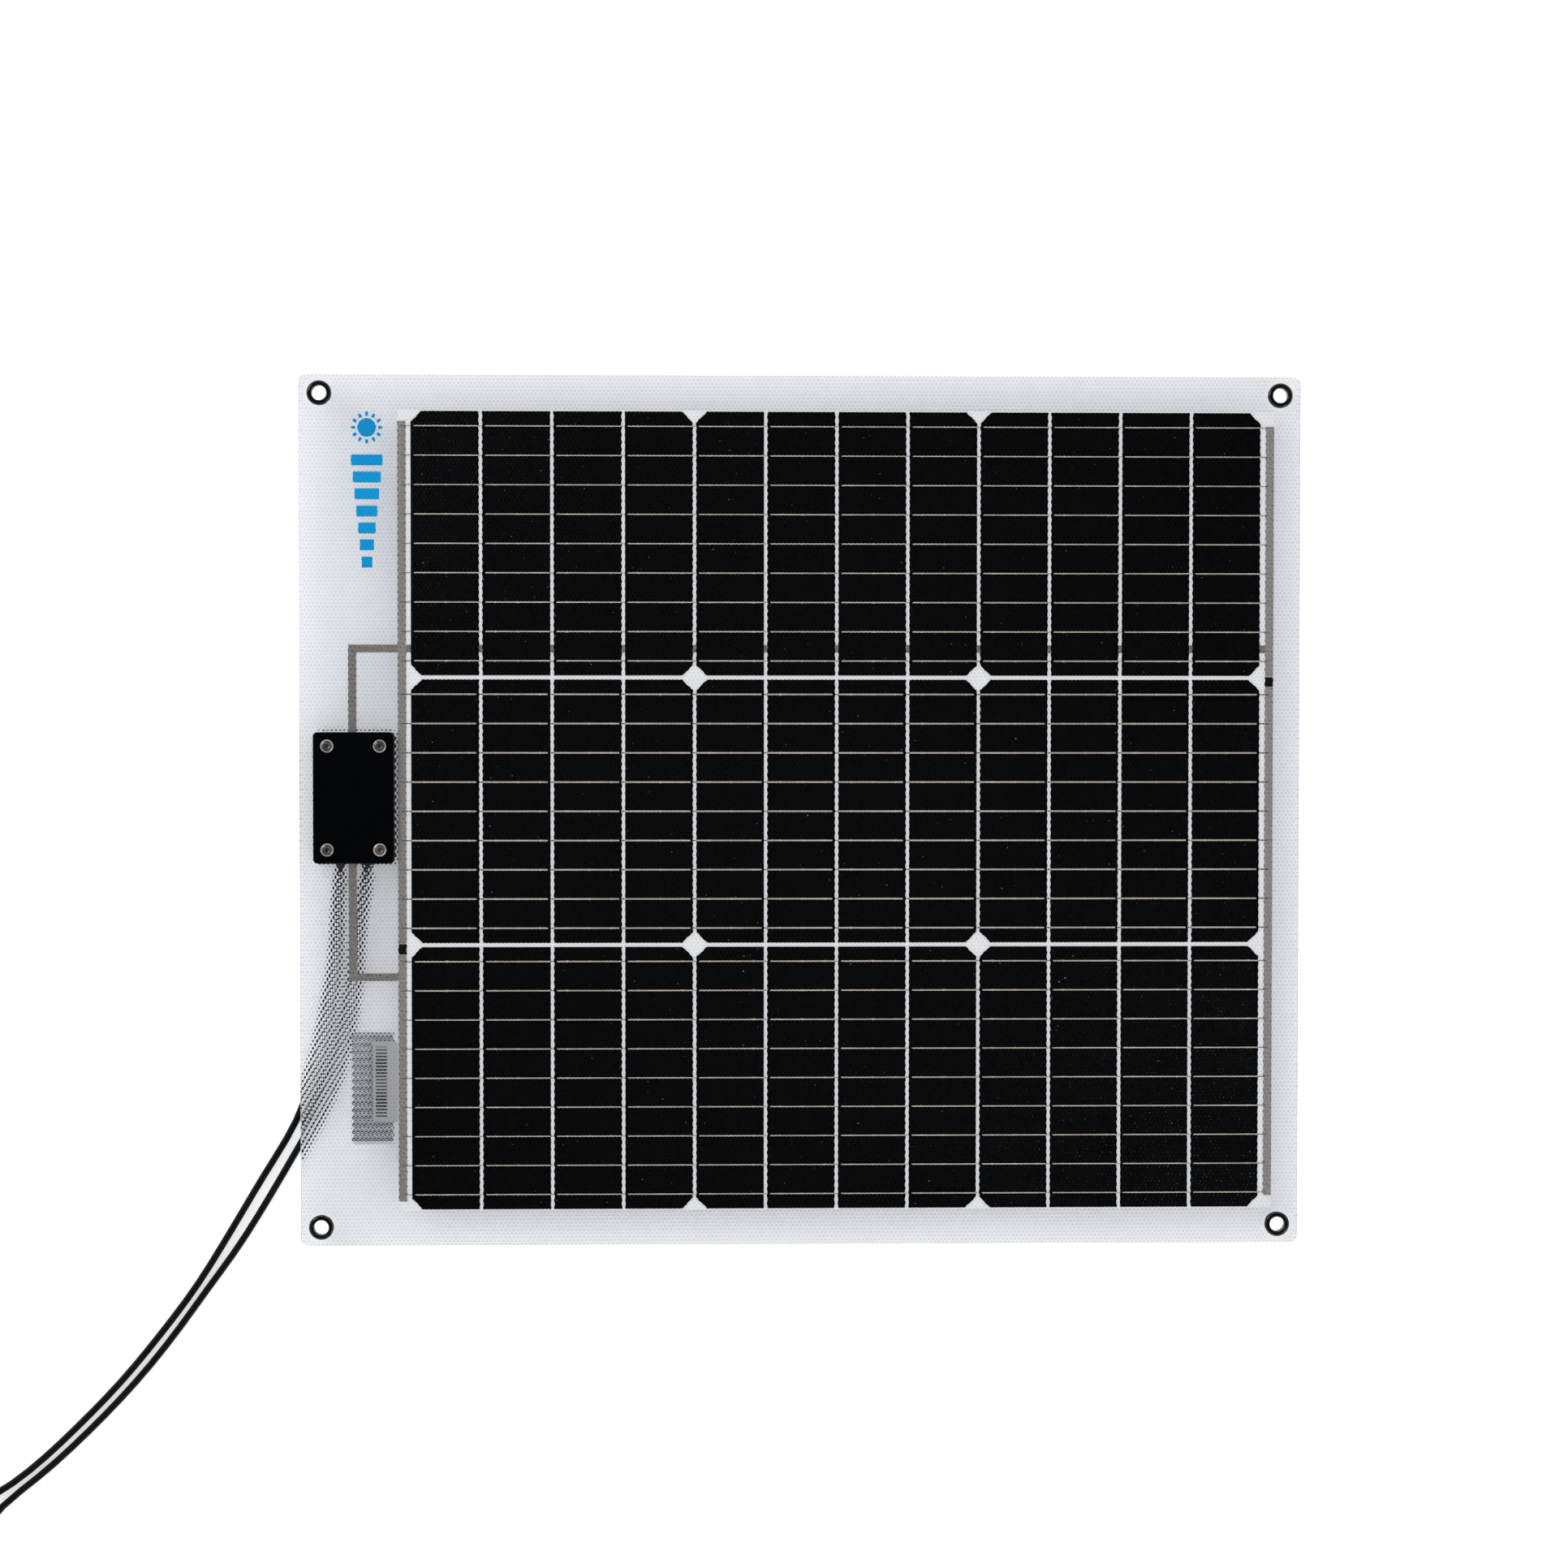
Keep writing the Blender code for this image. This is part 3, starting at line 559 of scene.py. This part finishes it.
# ====================================================================== cables
ROUTE_1 = [(-278.5, -12.3, 6.3), (-278.5, -24.0, 6.3), (-278.7, -36.0, 6.3), (-279.7, -50.0, 6.1),
           (-280.6, -65.3, 5.5), (-281.9, -90.5, 4.1), (-285.6, -115.6, 2.8), (-290.8, -141.8, 2.1),
           (-297.2, -164.0, 2.1), (-304.6, -184.5, 2.1), (-323.9, -218.3, 2.1), (-338.1, -242.0, 2.1),
           (-352.3, -265.7, 2.1), (-367.4, -289.4, 2.1), (-388.0, -317.0, 2.1), (-412.0, -346.0, 2.1),
           (-440.0, -375.0, 2.1), (-468.0, -400.5, 2.1), (-486.0, -413.4, 2.1), (-500.9, -421.5, 2.1)]
ROUTE_2 = [(-262.0, 9.7, 6.3), (-262.0, -10.0, 6.3), (-262.0, -30.0, 6.3), (-263.0, -41.0, 6.2),
           (-264.8, -52.0, 6.0), (-268.0, -71.7, 5.0), (-271.2, -103.3, 3.1), (-274.0, -121.0, 2.4),
           (-279.4, -146.0, 2.1), (-288.8, -173.9, 2.1), (-303.4, -201.6, 2.1), (-327.1, -242.0, 2.1),
           (-342.2, -265.7, 2.1), (-359.3, -289.4, 2.1), (-380.5, -318.5, 2.1), (-406.0, -349.5, 2.1),
           (-435.0, -379.5, 2.1), (-464.5, -406.0, 2.1), (-481.5, -419.8, 2.1), (-494.0, -433.5, 2.1),
           (-500.2, -446.0, 2.1), (-502.0, -459.0, 2.1)]
COIL_C = ((-526.5, -407.9), (-526.6, -474.4))
R_OUT, R_IN, Z_LOW, Z_HIGH = 24.6, 20.45, 2.1, 6.22


def natural_spline(points, count):
    p = np.array(points, float)
    t = np.concatenate([[0.0], np.cumsum(np.linalg.norm(np.diff(p, axis=0), axis=1))])
    n = len(t)
    h = np.diff(t)
    a = np.zeros((n, n))
    b = np.zeros((n, 3))
    a[0, 0] = a[-1, -1] = 1.0
    for i in range(1, n - 1):
        a[i, i - 1], a[i, i], a[i, i + 1] = h[i - 1], 2 * (h[i - 1] + h[i]), h[i]
        b[i] = 6 * ((p[i + 1] - p[i]) / h[i] - (p[i] - p[i - 1]) / h[i - 1])
    m = np.linalg.solve(a, b)
    out = []
    for s in np.linspace(0, t[-1], 1200):
        i = min(max(int(np.searchsorted(t, s)) - 1, 0), n - 2)
        u, v = t[i + 1] - s, s - t[i]
        out.append((m[i] * u ** 3 + m[i + 1] * v ** 3) / (6 * h[i])
                   + (p[i] / h[i] - m[i] * h[i] / 6) * u + (p[i + 1] / h[i] - m[i + 1] * h[i] / 6) * v)
    fine = np.array(out)
    d = np.concatenate([[0.0], np.cumsum(np.linalg.norm(np.diff(fine, axis=0), axis=1))])
    return np.stack([np.interp(np.linspace(0, d[-1], count), d, fine[:, k]) for k in range(3)], axis=1)


def smoothstep(x):
    x = min(max(x, 0.0), 1.0)
    return x * x * (3 - 2 * x)


def coil_points(centre, start_deg, sweep_deg, per_turn=24):
    """Clockwise from start: one turn spiralling in on the floor, then up and
    back out over it."""
    n = int(round(sweep_deg / 360.0 * per_turn))
    pts = []
    for i in range(1, n + 1):
        t = sweep_deg / 360.0 * i / n
        a = math.radians(start_deg - sweep_deg * i / n)
        u = t - 1.0
        r = R_OUT - (R_OUT - R_IN) * min(t, 1.0)
        if u > 0.40:
            r = R_IN + (R_OUT - R_IN) * smoothstep((u - 0.40) / 0.55)
        need = math.sqrt(max(0.0, 1 - (1 - min(max(u, 0.0), 1.0)) ** 2)) if u > 0 else 0.0
        f = max(smoothstep((t - 0.80) / 0.42), need)
        z = Z_LOW + (Z_HIGH - Z_LOW) * min(f, 1.0)
        pts.append((centre[0] + r * math.cos(a), centre[1] + r * math.sin(a), z))
    return pts


def cable(name, points, nodes):
    cu = bpy.data.curves.new(name, 'CURVE')
    cu.dimensions = '3D'
    cu.bevel_depth = CABLE_D / 2 * MM
    cu.bevel_resolution = 6
    cu.use_fill_caps = True
    cu.twist_mode = 'MINIMUM'
    sp = cu.splines.new('POLY')
    sp.points.add(len(points) - 1)
    for q, pt in zip(sp.points, points):
        q.co = (pt[0] * MM, pt[1] * MM, pt[2] * MM, 1.0)
    sp.use_smooth = True
    ob = bpy.data.objects.new(name, cu)
    COLL.objects.link(ob)
    cu.materials.append(JACKET)
    fixed(ob, 'left_section', *nodes, slot='cable_jacket')
    return ob


def resample(points, step):
    p = np.array(points, float)
    d = np.concatenate([[0.0], np.cumsum(np.linalg.norm(np.diff(p, axis=0), axis=1))])
    n = int(d[-1] / step) + 1
    s = np.linspace(0, d[-1], n)
    return np.stack([np.interp(s, d, p[:, k]) for k in range(3)], axis=1), d[-1]


def connector(name, centre, axis, node, plug):
    """Generic photovoltaic connector: clamp nut, gripped sleeve, body and nose."""
    body = [(2.3, 0.0), (2.9, 0.3), (3.3, 1.2), (3.4, 6.0), (4.4, 6.4), (6.6, 7.1), (7.1, 7.7), (7.2, 8.6),
            (7.2, 9.6), (7.2, 13.0), (7.2, 16.4), (7.0, 17.1), (6.3, 17.6), (6.0, 18.0), (6.0, 20.8),
            (6.5, 21.4), (7.5, 21.8), (7.95, 22.4)]
    if plug:
        tail = [(7.95, 26.0), (7.75, 26.3), (7.75, 27.2), (7.95, 27.5), (7.95, 40.0), (7.7, 45.5), (7.4, 46.0),
                (6.6, 46.0), (6.4, 45.6), (6.4, 28.2), (1.7, 28.0), (1.45, 28.3), (1.4, 41.0), (1.1, 42.4),
                (0.4, 43.0)]
    else:
        tail = [(7.95, 26.0), (7.75, 26.3), (7.75, 27.2), (7.95, 27.5), (7.95, 35.4), (7.5, 36.2), (5.9, 36.5),
                (5.6, 36.9), (5.6, 39.5), (5.25, 39.8), (5.25, 41.2), (5.6, 41.5), (5.6, 49.4), (5.3, 50.0),
                (2.7, 50.0), (2.4, 49.6), (2.4, 38.3), (0.6, 38.0)]

    def shape(r, h, a):
        if 8.5 < h < 16.5 and r > 7:
            return 1.0 - 0.07 * (0.5 + 0.5 * math.cos(12 * a))
        if 27.4 < h < 41 and r > 7:
            return 1.0 - 0.10 * max(0.0, math.cos(2 * a)) ** 6
        return 1.0
    ob = lathe(name, body + tail, centre, axis, PLUG, segs=96, smooth=32, shape=shape)
    return fixed(ob, 'left_section', node, slot='connector_black')


(c1x, c1y), (c2x, c2y) = COIL_C
PZ = 8.05
socket = connector('connector_socket', (c1x - 24.6, c1y + 16.8, PZ), (0, 1, 0), 'pv_socket', False)
plug = connector('connector_plug', (c2x - 16.8, c2y - 24.6, PZ), (-1, 0, 0), 'pv_plug', True)

run1 = natural_spline(ROUTE_1, 39).tolist()
run1 += [(c1x + 24.6 * math.cos(math.radians(-60)), c1y + 24.6 * math.sin(math.radians(-60)), 2.1)]
run1 += coil_points(COIL_C[0], -60, 840)
run1 += [(c1x - 24.6, c1y + y, z) for y, z in ((4.0, 6.45), (8.0, 6.95), (12.0, 7.6), (15.5, 8.0), (19.0, PZ))]
run2 = natural_spline([p for p in ROUTE_2 if p[1] < 0], 39).tolist()
run2 += [(c2x + 24.6, c2y, 2.1)] if abs(c2y - run2[-1][1]) > 4 else []
run2 += coil_points(COIL_C[1], 0, 810)
run2 += [(c2x - x, c2y - 24.6, z) for x, z in ((4.0, 6.45), (8.0, 6.95), (12.0, 7.6), (15.5, 8.0), (19.0, PZ))]
cable('output_cable_1_full', run1, ('output_cable_1', 'cable_coil_1'))
cable('output_cable_2_full', run2, ('output_cable_2', 'cable_coil_2'))


# =========================================================== film and backing
for z, nodes in (('a', ('left', 'centre_left')), ('b', ('centre_right',)), ('c', ('right',))):
    _, _, _, _, x0, x1 = ZONES[z]
    corners = {'a': '14', 'b': '', 'c': '23'}[z]
    outline = rect(x0, -262.5, x1, 262.5, 4.5, 8, corners)
    holes = []
    if corners:
        holes = [circle(x, y, 5.3, 40) for x, y in EYES.values() if x0 < x < x1]
    if z == 'a':
        holes += [circle(x, y, 2.3, 20) for x, y in SCREWS]
    film = slab('film_' + z, [[outline] + holes], 12.78, 14.7, FILM, zone_cuts(z))
    film.data.materials.append(EDGE)
    film.data.materials.append(UNDER)
    film.data.materials.append(JOINT)
    inner_x = [x * MM for x in ((x0,) if z != 'a' else ()) + ((x1,) if z != 'c' else ())]

    def inner(poly):
        return any(abs(poly.center.x - x) < 1e-5 for x in inner_x)
    for poly in film.data.polygons:
        if abs(poly.normal.z) < 0.5:
            poly.material_index = 3 if inner(poly) else 1
        elif poly.normal.z < -0.5:
            poly.material_index = 2
    bend(film, z, *['front_film_' + n for n in nodes], slot='front_film')
    back = slab('backing_' + z, [[outline] + holes], 12.2, 12.7, BACK, zone_cuts(z))
    back.data.materials.append(JOINT)
    for poly in back.data.polygons:
        poly.material_index = 1 if abs(poly.normal.z) < 0.5 and inner(poly) else 0
    bend(back, z, *['back_sheet_' + n for n in nodes], slot='back_sheet')
    wx0, wx1 = max(x0, -242.6), min(x1, 285.7)
    fill = slab('encapsulant_' + z, [[rect(wx0, -241.4, wx1, 241.4)]], 12.80, 13.71, WHITE, zone_cuts(z))
    bend(fill, z, slot='back_sheet')


# ============================================================ cells and wires
def strip_outline(i, row):
    x0 = STRIP_X0 + STRIP_PITCH * i
    x1, y0 = x0 + STRIP_W, ROW_Y0[row]
    y1, c = y0 + ROW_H, CHAMFER
    x0, x1 = x0 - 0.12, x1 + 0.12
    out = [(x0, y0 + c), (x0 + c, y0)] if i % 4 == 0 else [(x0, y0)]
    out += [(x1 - c, y0), (x1, y0 + c)] if i % 4 == 3 else [(x1, y0)]
    out += [(x1, y1 - c), (x1 - c, y1)] if i % 4 == 3 else [(x1, y1)]
    out += [(x0 + c, y1), (x0, y1 - c)] if i % 4 == 0 else [(x0, y1)]
    return out


def wire_run(verts, faces, index, path, y, slot):
    """Flattened wire along X; path gives x, height, half width."""
    section = [(-1.0, 0.0), (-0.8, 0.55), (-0.3, 0.95), (0.3, 0.95), (0.8, 0.55), (1.0, 0.0), (0.6, -0.12), (-0.6, -0.12)]
    m = len(section)
    base = len(verts)
    for x, z, w in path:
        verts += [(x, y + w * a, z + 0.22 * b) for a, b in section]
    for k in range(len(path) - 1):
        for j in range(m):
            a, b = base + k * m + j, base + k * m + (j + 1) % m
            faces.append((a, b, b + m, a + m))
            index.append(slot)
    faces.append(tuple(base + j for j in range(m)))
    faces.append(tuple(base + (len(path) - 1) * m + j for j in reversed(range(m))))
    index += [slot, slot]


def nub(verts, faces, index, x, y, z):
    """Small mound of solder over a wire."""
    n, base = 10, len(verts)
    for k, (s, h) in enumerate(((1.0, 0.0), (0.82, 0.14), (0.45, 0.23))):
        verts += [(x + 0.62 * s * math.cos(2 * math.pi * j / n), y + 0.52 * s * math.sin(2 * math.pi * j / n), z + h)
                  for j in range(n)]
    for k in range(2):
        for j in range(n):
            a, b = base + k * n + j, base + k * n + (j + 1) % n
            faces.append((a, b, b + n, a + n))
            index.append(0)
    faces.append(tuple(base + 2 * n + j for j in range(n)))
    faces.append(tuple(base + j for j in reversed(range(n))))
    index += [0, 0]


for z, cols in (('a', range(0, 4)), ('b', range(4, 8)), ('c', range(8, 12))):
    names = {'a': ('left', 'centre_left'), 'b': ('centre_right',), 'c': ('right',)}[z]
    for row in range(3):
        cells = slab('cells_%s_row%d' % (z, row + 1), [[strip_outline(i, row)] for i in cols],
                     13.80, 14.00, CELL, zone_cuts(z))
        bend(cells, z, *['cells_row%d_%s' % (row + 1, n) for n in names], slot='solar_cell')
        verts, faces, index = [], [], []
        for i in cols:
            x0 = STRIP_X0 + STRIP_PITCH * i
            x1 = x0 + STRIP_W
            for k in range(9):
                y = ROW_Y0[row] + ROW_H / 9 * (k + 0.5)
                f, g = (x0 + 1.7, x1) if row != 1 else (x0, x1 - 1.5)
                step = [f + (g - f) * s / 7 for s in range(8)]
                wire_run(verts, faces, index, [(x, 14.01, 0.34) for x in step], y, 0)
                for part in (0.19, 0.52, 0.85):
                    nub(verts, faces, index, x0 + STRIP_W * part, y, 14.05)
                if row != 1:        # over the right edge, under the next strip
                    last = i == 11
                    end = [(x1 + 3.4, 14.01, 0.22), (x1 + 5.5, 14.05, 0.22)] if last else \
                          [(x1 + 1.6, 13.79, 0.18), (x1 + 2.6, 13.76, 0.18)]
                    wire_run(verts, faces, index, [(x1, 14.01, 0.24), (x1 + 0.7, 13.90, 0.19)] + end, y, 1)
                    if i == 0:
                        wire_run(verts, faces, index, [(-241.0, 14.03, 0.22), (-237.8, 14.01, 0.22),
                                                       (x0 - 0.5, 13.79, 0.2), (x0 + 0.6, 13.76, 0.2)], y, 1)
                else:               # over the left edge
                    first = i == 0
                    end = [(x0 - 3.0, 14.01, 0.22), (x0 - 6.0, 14.05, 0.22)] if first else \
                          [(x0 - 1.6, 13.79, 0.18), (x0 - 2.6, 13.76, 0.18)]
                    wire_run(verts, faces, index, [(x0, 14.01, 0.24), (x0 - 0.7, 13.90, 0.19)] + end, y, 1)
                    if i == 11:
                        wire_run(verts, faces, index, [(x1 - 0.6, 13.76, 0.2), (x1 + 0.5, 13.79, 0.2),
                                                       (x1 + 3.4, 14.01, 0.22), (284.0, 14.03, 0.22)], y, 1)
        wires = from_lists('wires_%s_row%d' % (z, row + 1), verts, faces, [WIRE, WIRE_PAINTED_SHADE], 50, index, recalc=True)
        bend(wires, z, slot='tinned_ribbon')

# ==================================================================== ribbons
for name, x, y0, y1, mat, body in (
        ('bus_left_upper', -243.0, -79.7, 234.8, RIBBON_L, 'left_section'),
        ('bus_left_lower', -243.0, -235.7, -86.5, RIBBON_L, 'left_section'),
        ('bus_right_upper', 281.1, 81.6, 232.7, RIBBON_R, 'right_section'),
        ('bus_right_lower', 281.1, -233.6, 75.0, RIBBON_R, 'right_section')):
    ob = rounded_slab(name + '_strip', x, y0, x + 5.0, y1, 0.3, 13.77, 14.01, mat, 0.06, 0.06, 2, 3)
    fixed(ob, body, name, slot='tinned_ribbon')
for name, x, y0, y1, body in (('bus_insulator_left', -243.0, -86.2, -80.0, 'left_section'),
                              ('bus_insulator_right', 281.1, 75.3, 81.3, 'right_section')):
    ob = rounded_slab(name + '_tape', x, y0, x + 5.0, y1, 0.4, 13.77, 14.05, TAPE, 0.06, 0.06, 2, 3)
    fixed(ob, body, name, slot='black_tape')

LX, B2, TOP_Y, LOW_Y = -270.3, 2.5, 98.1, -100.0
upper = [(LX - B2, 18.3), (LX + B2, 18.3), (LX + B2, TOP_Y - B2), (-64.45, TOP_Y - B2),
         (-64.45, TOP_Y + B2), (LX - B2, TOP_Y + B2)]
ob = slab('lead_upper_ribbon', [[upper]], 13.73, 13.78, RIBBON_D, zone_cuts('a'))
bend(ob, 'a', 'lead_ribbon_upper', 'return_ribbon_centre_left', slot='tinned_ribbon')
for z, x1 in (('b', 107.15), ('c', 286.1)):
    x0 = ZONES[z][4]
    ob = slab('return_ribbon_' + z, [[rect(x0, TOP_Y - B2, x1, TOP_Y + B2)]], 13.73, 13.78, RIBBON_D, zone_cuts(z))
    bend(ob, z, 'return_ribbon_centre_right' if z == 'b' else 'return_ribbon_right', slot='tinned_ribbon')
lower = [(LX + B2, -12.3), (LX - B2, -12.3), (LX - B2, LOW_Y - B2), (-238.3, LOW_Y - B2),
         (-238.3, LOW_Y + B2), (LX + B2, LOW_Y + B2)]
ob = slab('lead_lower_ribbon', [[lower]], 13.55, 13.75, RIBBON_D)
fixed(ob, 'left_section', 'lead_ribbon_lower', slot='tinned_ribbon')

# ============================================================ labels and mark
ob = rounded_slab('rating_label_sheet', -271.3, -200.8, -246.2, -132.7, 1.0, 11.7, 11.9, LABEL, 0.04, 0.04, 2, 5)
fixed(ob, 'left_section', 'rating_label', slot='label_silver')
ob = rounded_slab('serial_sticker_sheet', -258.6, -187.7, -243.6, -138.8, 1.2, 14.07, 14.16, STICKER, 0.03, 0.03, 2, 5)
fixed(ob, 'left_section', 'serial_sticker', slot='sticker_grey')

# Generic mark: a sun with rays above a stepped row of plain bars.
sx, sy = -261.2, 230.6
groups = [[circle(sx, sy, 5.6, 48)]]
for k in range(12):
    a = 2 * math.pi * k / 12
    ca, sa = math.cos(a), math.sin(a)
    groups.append([[(sx + r * ca - w * sa, sy + r * sa + w * ca) for r, w in
                    ((7.0, -1.0), (9.5, -0.7), (9.5, 0.7), (7.0, 1.0))]])
for k in range(7):
    half = 9.5 - 1.05 * k
    top = 214.5 - 10.2 * k
    groups.append([rect(sx - half, top - 6.6, sx + half, top, 0.6, 4)])
ob = slab('sun_mark', groups, 14.20, 14.26, PRINT)
fixed(ob, 'left_section', slot='front_film')

# ==================================================================== eyelets
EYE_PROFILE = [(4.4, 11.0), (4.4, 13.0), (4.4, 15.2), (4.52, 15.75), (4.9, 16.15), (5.4, 16.3), (6.0, 16.25),
               (6.6, 16.0), (7.1, 15.6), (7.4, 15.2), (7.45, 14.95), (7.2, 14.8), (6.0, 14.76), (5.05, 14.76),
               (5.05, 12.1), (6.2, 12.05), (7.1, 12.0), (7.2, 11.7), (6.9, 11.2), (6.3, 11.0)]
for nm, (x, y) in EYES.items():
    ob = lathe('eyelet_ring_' + nm, EYE_PROFILE, (x, y, 0), (0, 0, 1), EYELET, segs=80, closed=True, smooth=60)
    fixed(ob, 'left_section' if x < 0 else 'right_section', 'eyelet_' + nm, slot='eyelet_black')

# =============================================================== junction box
bx, by, hw, hh = BOX_C[0], BOX_C[1], BOX_W / 2, BOX_H / 2
bores = [circle(x, y, 2.3, 32) for x, y in SCREWS]
ob = rounded_slab('cover_plate_panel', bx - hw, by - hh, bx + hw, by + hh, 2.7, 15.8, 18.3, COVER, 0.55, 0.2, 5, 16,
                  holes=bores)
fixed(ob, 'left_section', 'cover_plate', slot='cover_black')
for name, node, z0, z1 in (('front_gasket_pad', 'front_gasket', 14.75, 15.75), ('rear_gasket_pad', 'rear_seal_pad', 11.2, 12.1)):
    ob = rounded_slab(name, bx - hw + 1, by - hh + 1, bx + hw - 1, by + hh - 1, 2.0, z0, z1, SEAL, 0.15, 0.15, 3, 10,
                      holes=bores)
    fixed(ob, 'left_section', node, slot='seal_foam')


def housing():
    """Open tray: rounded underside with a raised panel, thin walls."""
    rings = []

    def ring(x0, y0, x1, y1, r, z):
        rings.append([(x, y, z) for x, y in rect(x0, y0, x1, y1, max(r, 0.05), 12)])

    def inset(i, z, r=3.0):
        ring(bx - hw + i, by - hh + i, bx + hw - i, by + hh - i, r - min(i, r - 0.3), z)
    for i, z in ((7.2, 0.0), (6.9, 0.45), (6.2, 0.45), (5.9, 0.0), (1.2, 0.0)):
        inset(i, z)
    for k in range(1, 5):
        a = math.pi / 2 * k / 4
        inset(1.2 * (1 - math.sin(a)), 1.2 * (1 - math.cos(a)))
    inset(0.0, 8.2)
    inset(0.35, 8.4)
    inset(0.35, 8.8)
    inset(0.0, 9.0)
    inset(0.0, 10.7)
    inset(0.3, 11.0)
    inset(1.8, 11.0)
    inset(2.0, 10.8)
    inset(2.0, 2.0)
    return rings_mesh('junction_box_tray', rings, HOUSING, smooth=35)


fixed(housing(), 'left_section', 'junction_box_housing', slot='housing_black')

HEX = 1.5


def hex_radius(a):
    return HEX / math.cos((a % (math.pi / 3)) - math.pi / 6) * 0.93


def screw_shape(r, h, a):
    return hex_radius(a) / r if 19.3 < h < 20.6 and r < 1.56 else 1.0


SCREW_PROFILE = [(0.4, 5.0), (1.6, 5.0), (1.95, 5.5), (1.95, 18.6), (3.85, 18.6), (3.97, 18.75), (3.97, 19.35),
                 (3.80, 19.62), (3.30, 19.95), (3.22, 19.98), (3.10, 19.90), (3.00, 19.98), (2.92, 20.25),
                 (2.70, 20.52), (2.40, 20.64), (1.75, 20.64), (1.55, 20.50), (1.50, 19.45), (0.9, 19.32), (0.25, 19.2)]
for i, (x, y) in enumerate(SCREWS):
    ob = lathe('cap_screw_%d' % (i + 1), SCREW_PROFILE, (x, y, 0), (0, 0, 1), STEEL, segs=72, smooth=28,
               shape=screw_shape)
    fixed(ob, 'left_section', 'cover_screw_%d' % (i + 1), slot='stainless')

GROMMET = [(2.15, -29.4), (3.6, -29.4), (3.7, -29.6), (3.7, -31.5), (4.2, -31.5), (4.4, -31.65), (4.4, -31.9),
           (3.9, -32.0), (3.5, -32.2), (3.4, -32.5), (3.3, -32.7), (3.1, -33.2), (2.9, -33.5), (2.5, -33.6), (2.15, -33.4)]
for i, x in enumerate((-278.5, -262.0)):
    ob = lathe('grommet_%d' % (i + 1), GROMMET, (x, 0, 6.3), (0, 1, 0), RUBBER, segs=64, closed=True, smooth=40)
    fixed(ob, 'left_section', 'cable_grommet_%d' % (i + 1), slot='grommet_rubber')

# ============================================= carried-over nodes: finish only
for node, mat in (('terminal_negative', BRASS), ('terminal_positive', BRASS), ('bypass_diode', DIODE)):
    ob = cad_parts[node]
    if len(ob.material_slots):
        ob.material_slots[0].material = mat
    else:
        ob.data.materials.append(mat)

# ============================================================ floor and light
floor_mat = Mat('studio_floor')
fn = floor_mat.noise(3.0, 2.0)
fp = floor_mat.n('BsdfPrincipled', Base_Color=floor_mat.mix(fn, (0.90, 0.90, 0.905), (0.93, 0.93, 0.93)),
                 Roughness=floor_mat.range(fn, 0.3, 0.7, 0.75, 0.9))
fp.inputs['Specular IOR Level'].default_value = 0.1
fp.inputs['Emission Color'].default_value = (1, 1, 1, 1)
fp.inputs['Emission Strength'].default_value = 0.34
floor_mat.surface(fp.outputs[0])
floor = from_lists('studio_floor', [(-4000, -4000, -0.02), (4000, -4000, -0.02), (4000, 4000, -0.02), (-4000, 4000, -0.02)],
                   [(0, 1, 2, 3)], floor_mat.m)

world = bpy.data.worlds.new('studio')
bpy.context.scene.world = world
world.use_nodes = True
wt = world.node_tree
wt.nodes.clear()
wo = wt.nodes.new('ShaderNodeOutputWorld')
bg = wt.nodes.new('ShaderNodeBackground')
tc = wt.nodes.new('ShaderNodeTexCoord')
sp = wt.nodes.new('ShaderNodeSeparateXYZ')
mr = wt.nodes.new('ShaderNodeMapRange')
mr.interpolation_type = 'SMOOTHSTEP'
for k, v in (('From Min', 0.45), ('From Max', 0.74), ('To Min', 1.60), ('To Max', 0.01)):
    mr.inputs[k].default_value = v
wt.links.new(tc.outputs['Generated'], sp.inputs[0])
wt.links.new(sp.outputs['Z'], mr.inputs['Value'])
wt.links.new(mr.outputs['Result'], bg.inputs['Strength'])
bg.inputs['Color'].default_value = (0.97, 0.985, 1.0, 1)
wt.links.new(bg.outputs[0], wo.inputs['Surface'])


def softbox(name, loc, size, watts):
    li = bpy.data.lights.new(name, 'AREA')
    li.shape = 'SQUARE'
    li.size = size
    li.energy = watts
    ob = bpy.data.objects.new(name, li)
    ob.location = loc
    ob.rotation_euler = (-Vector(loc)).to_track_quat('-Z', 'Y').to_euler()
    COLL.objects.link(ob)


softbox('key_upper_left', (-1.9, 1.2, 1.6), 0.9, 19)
softbox('fill_lower_right', (1.7, -1.5, 1.5), 0.8, 10)

top = bpy.data.lights.new('overhead_diffuse', 'AREA')
top.shape = 'SQUARE'
top.size = 3.0
top.energy = 39
top_ob = bpy.data.objects.new('overhead_diffuse', top)
top_ob.location = (0, 0, 2.6)
top_ob.visible_glossy = False
COLL.objects.link(top_ob)
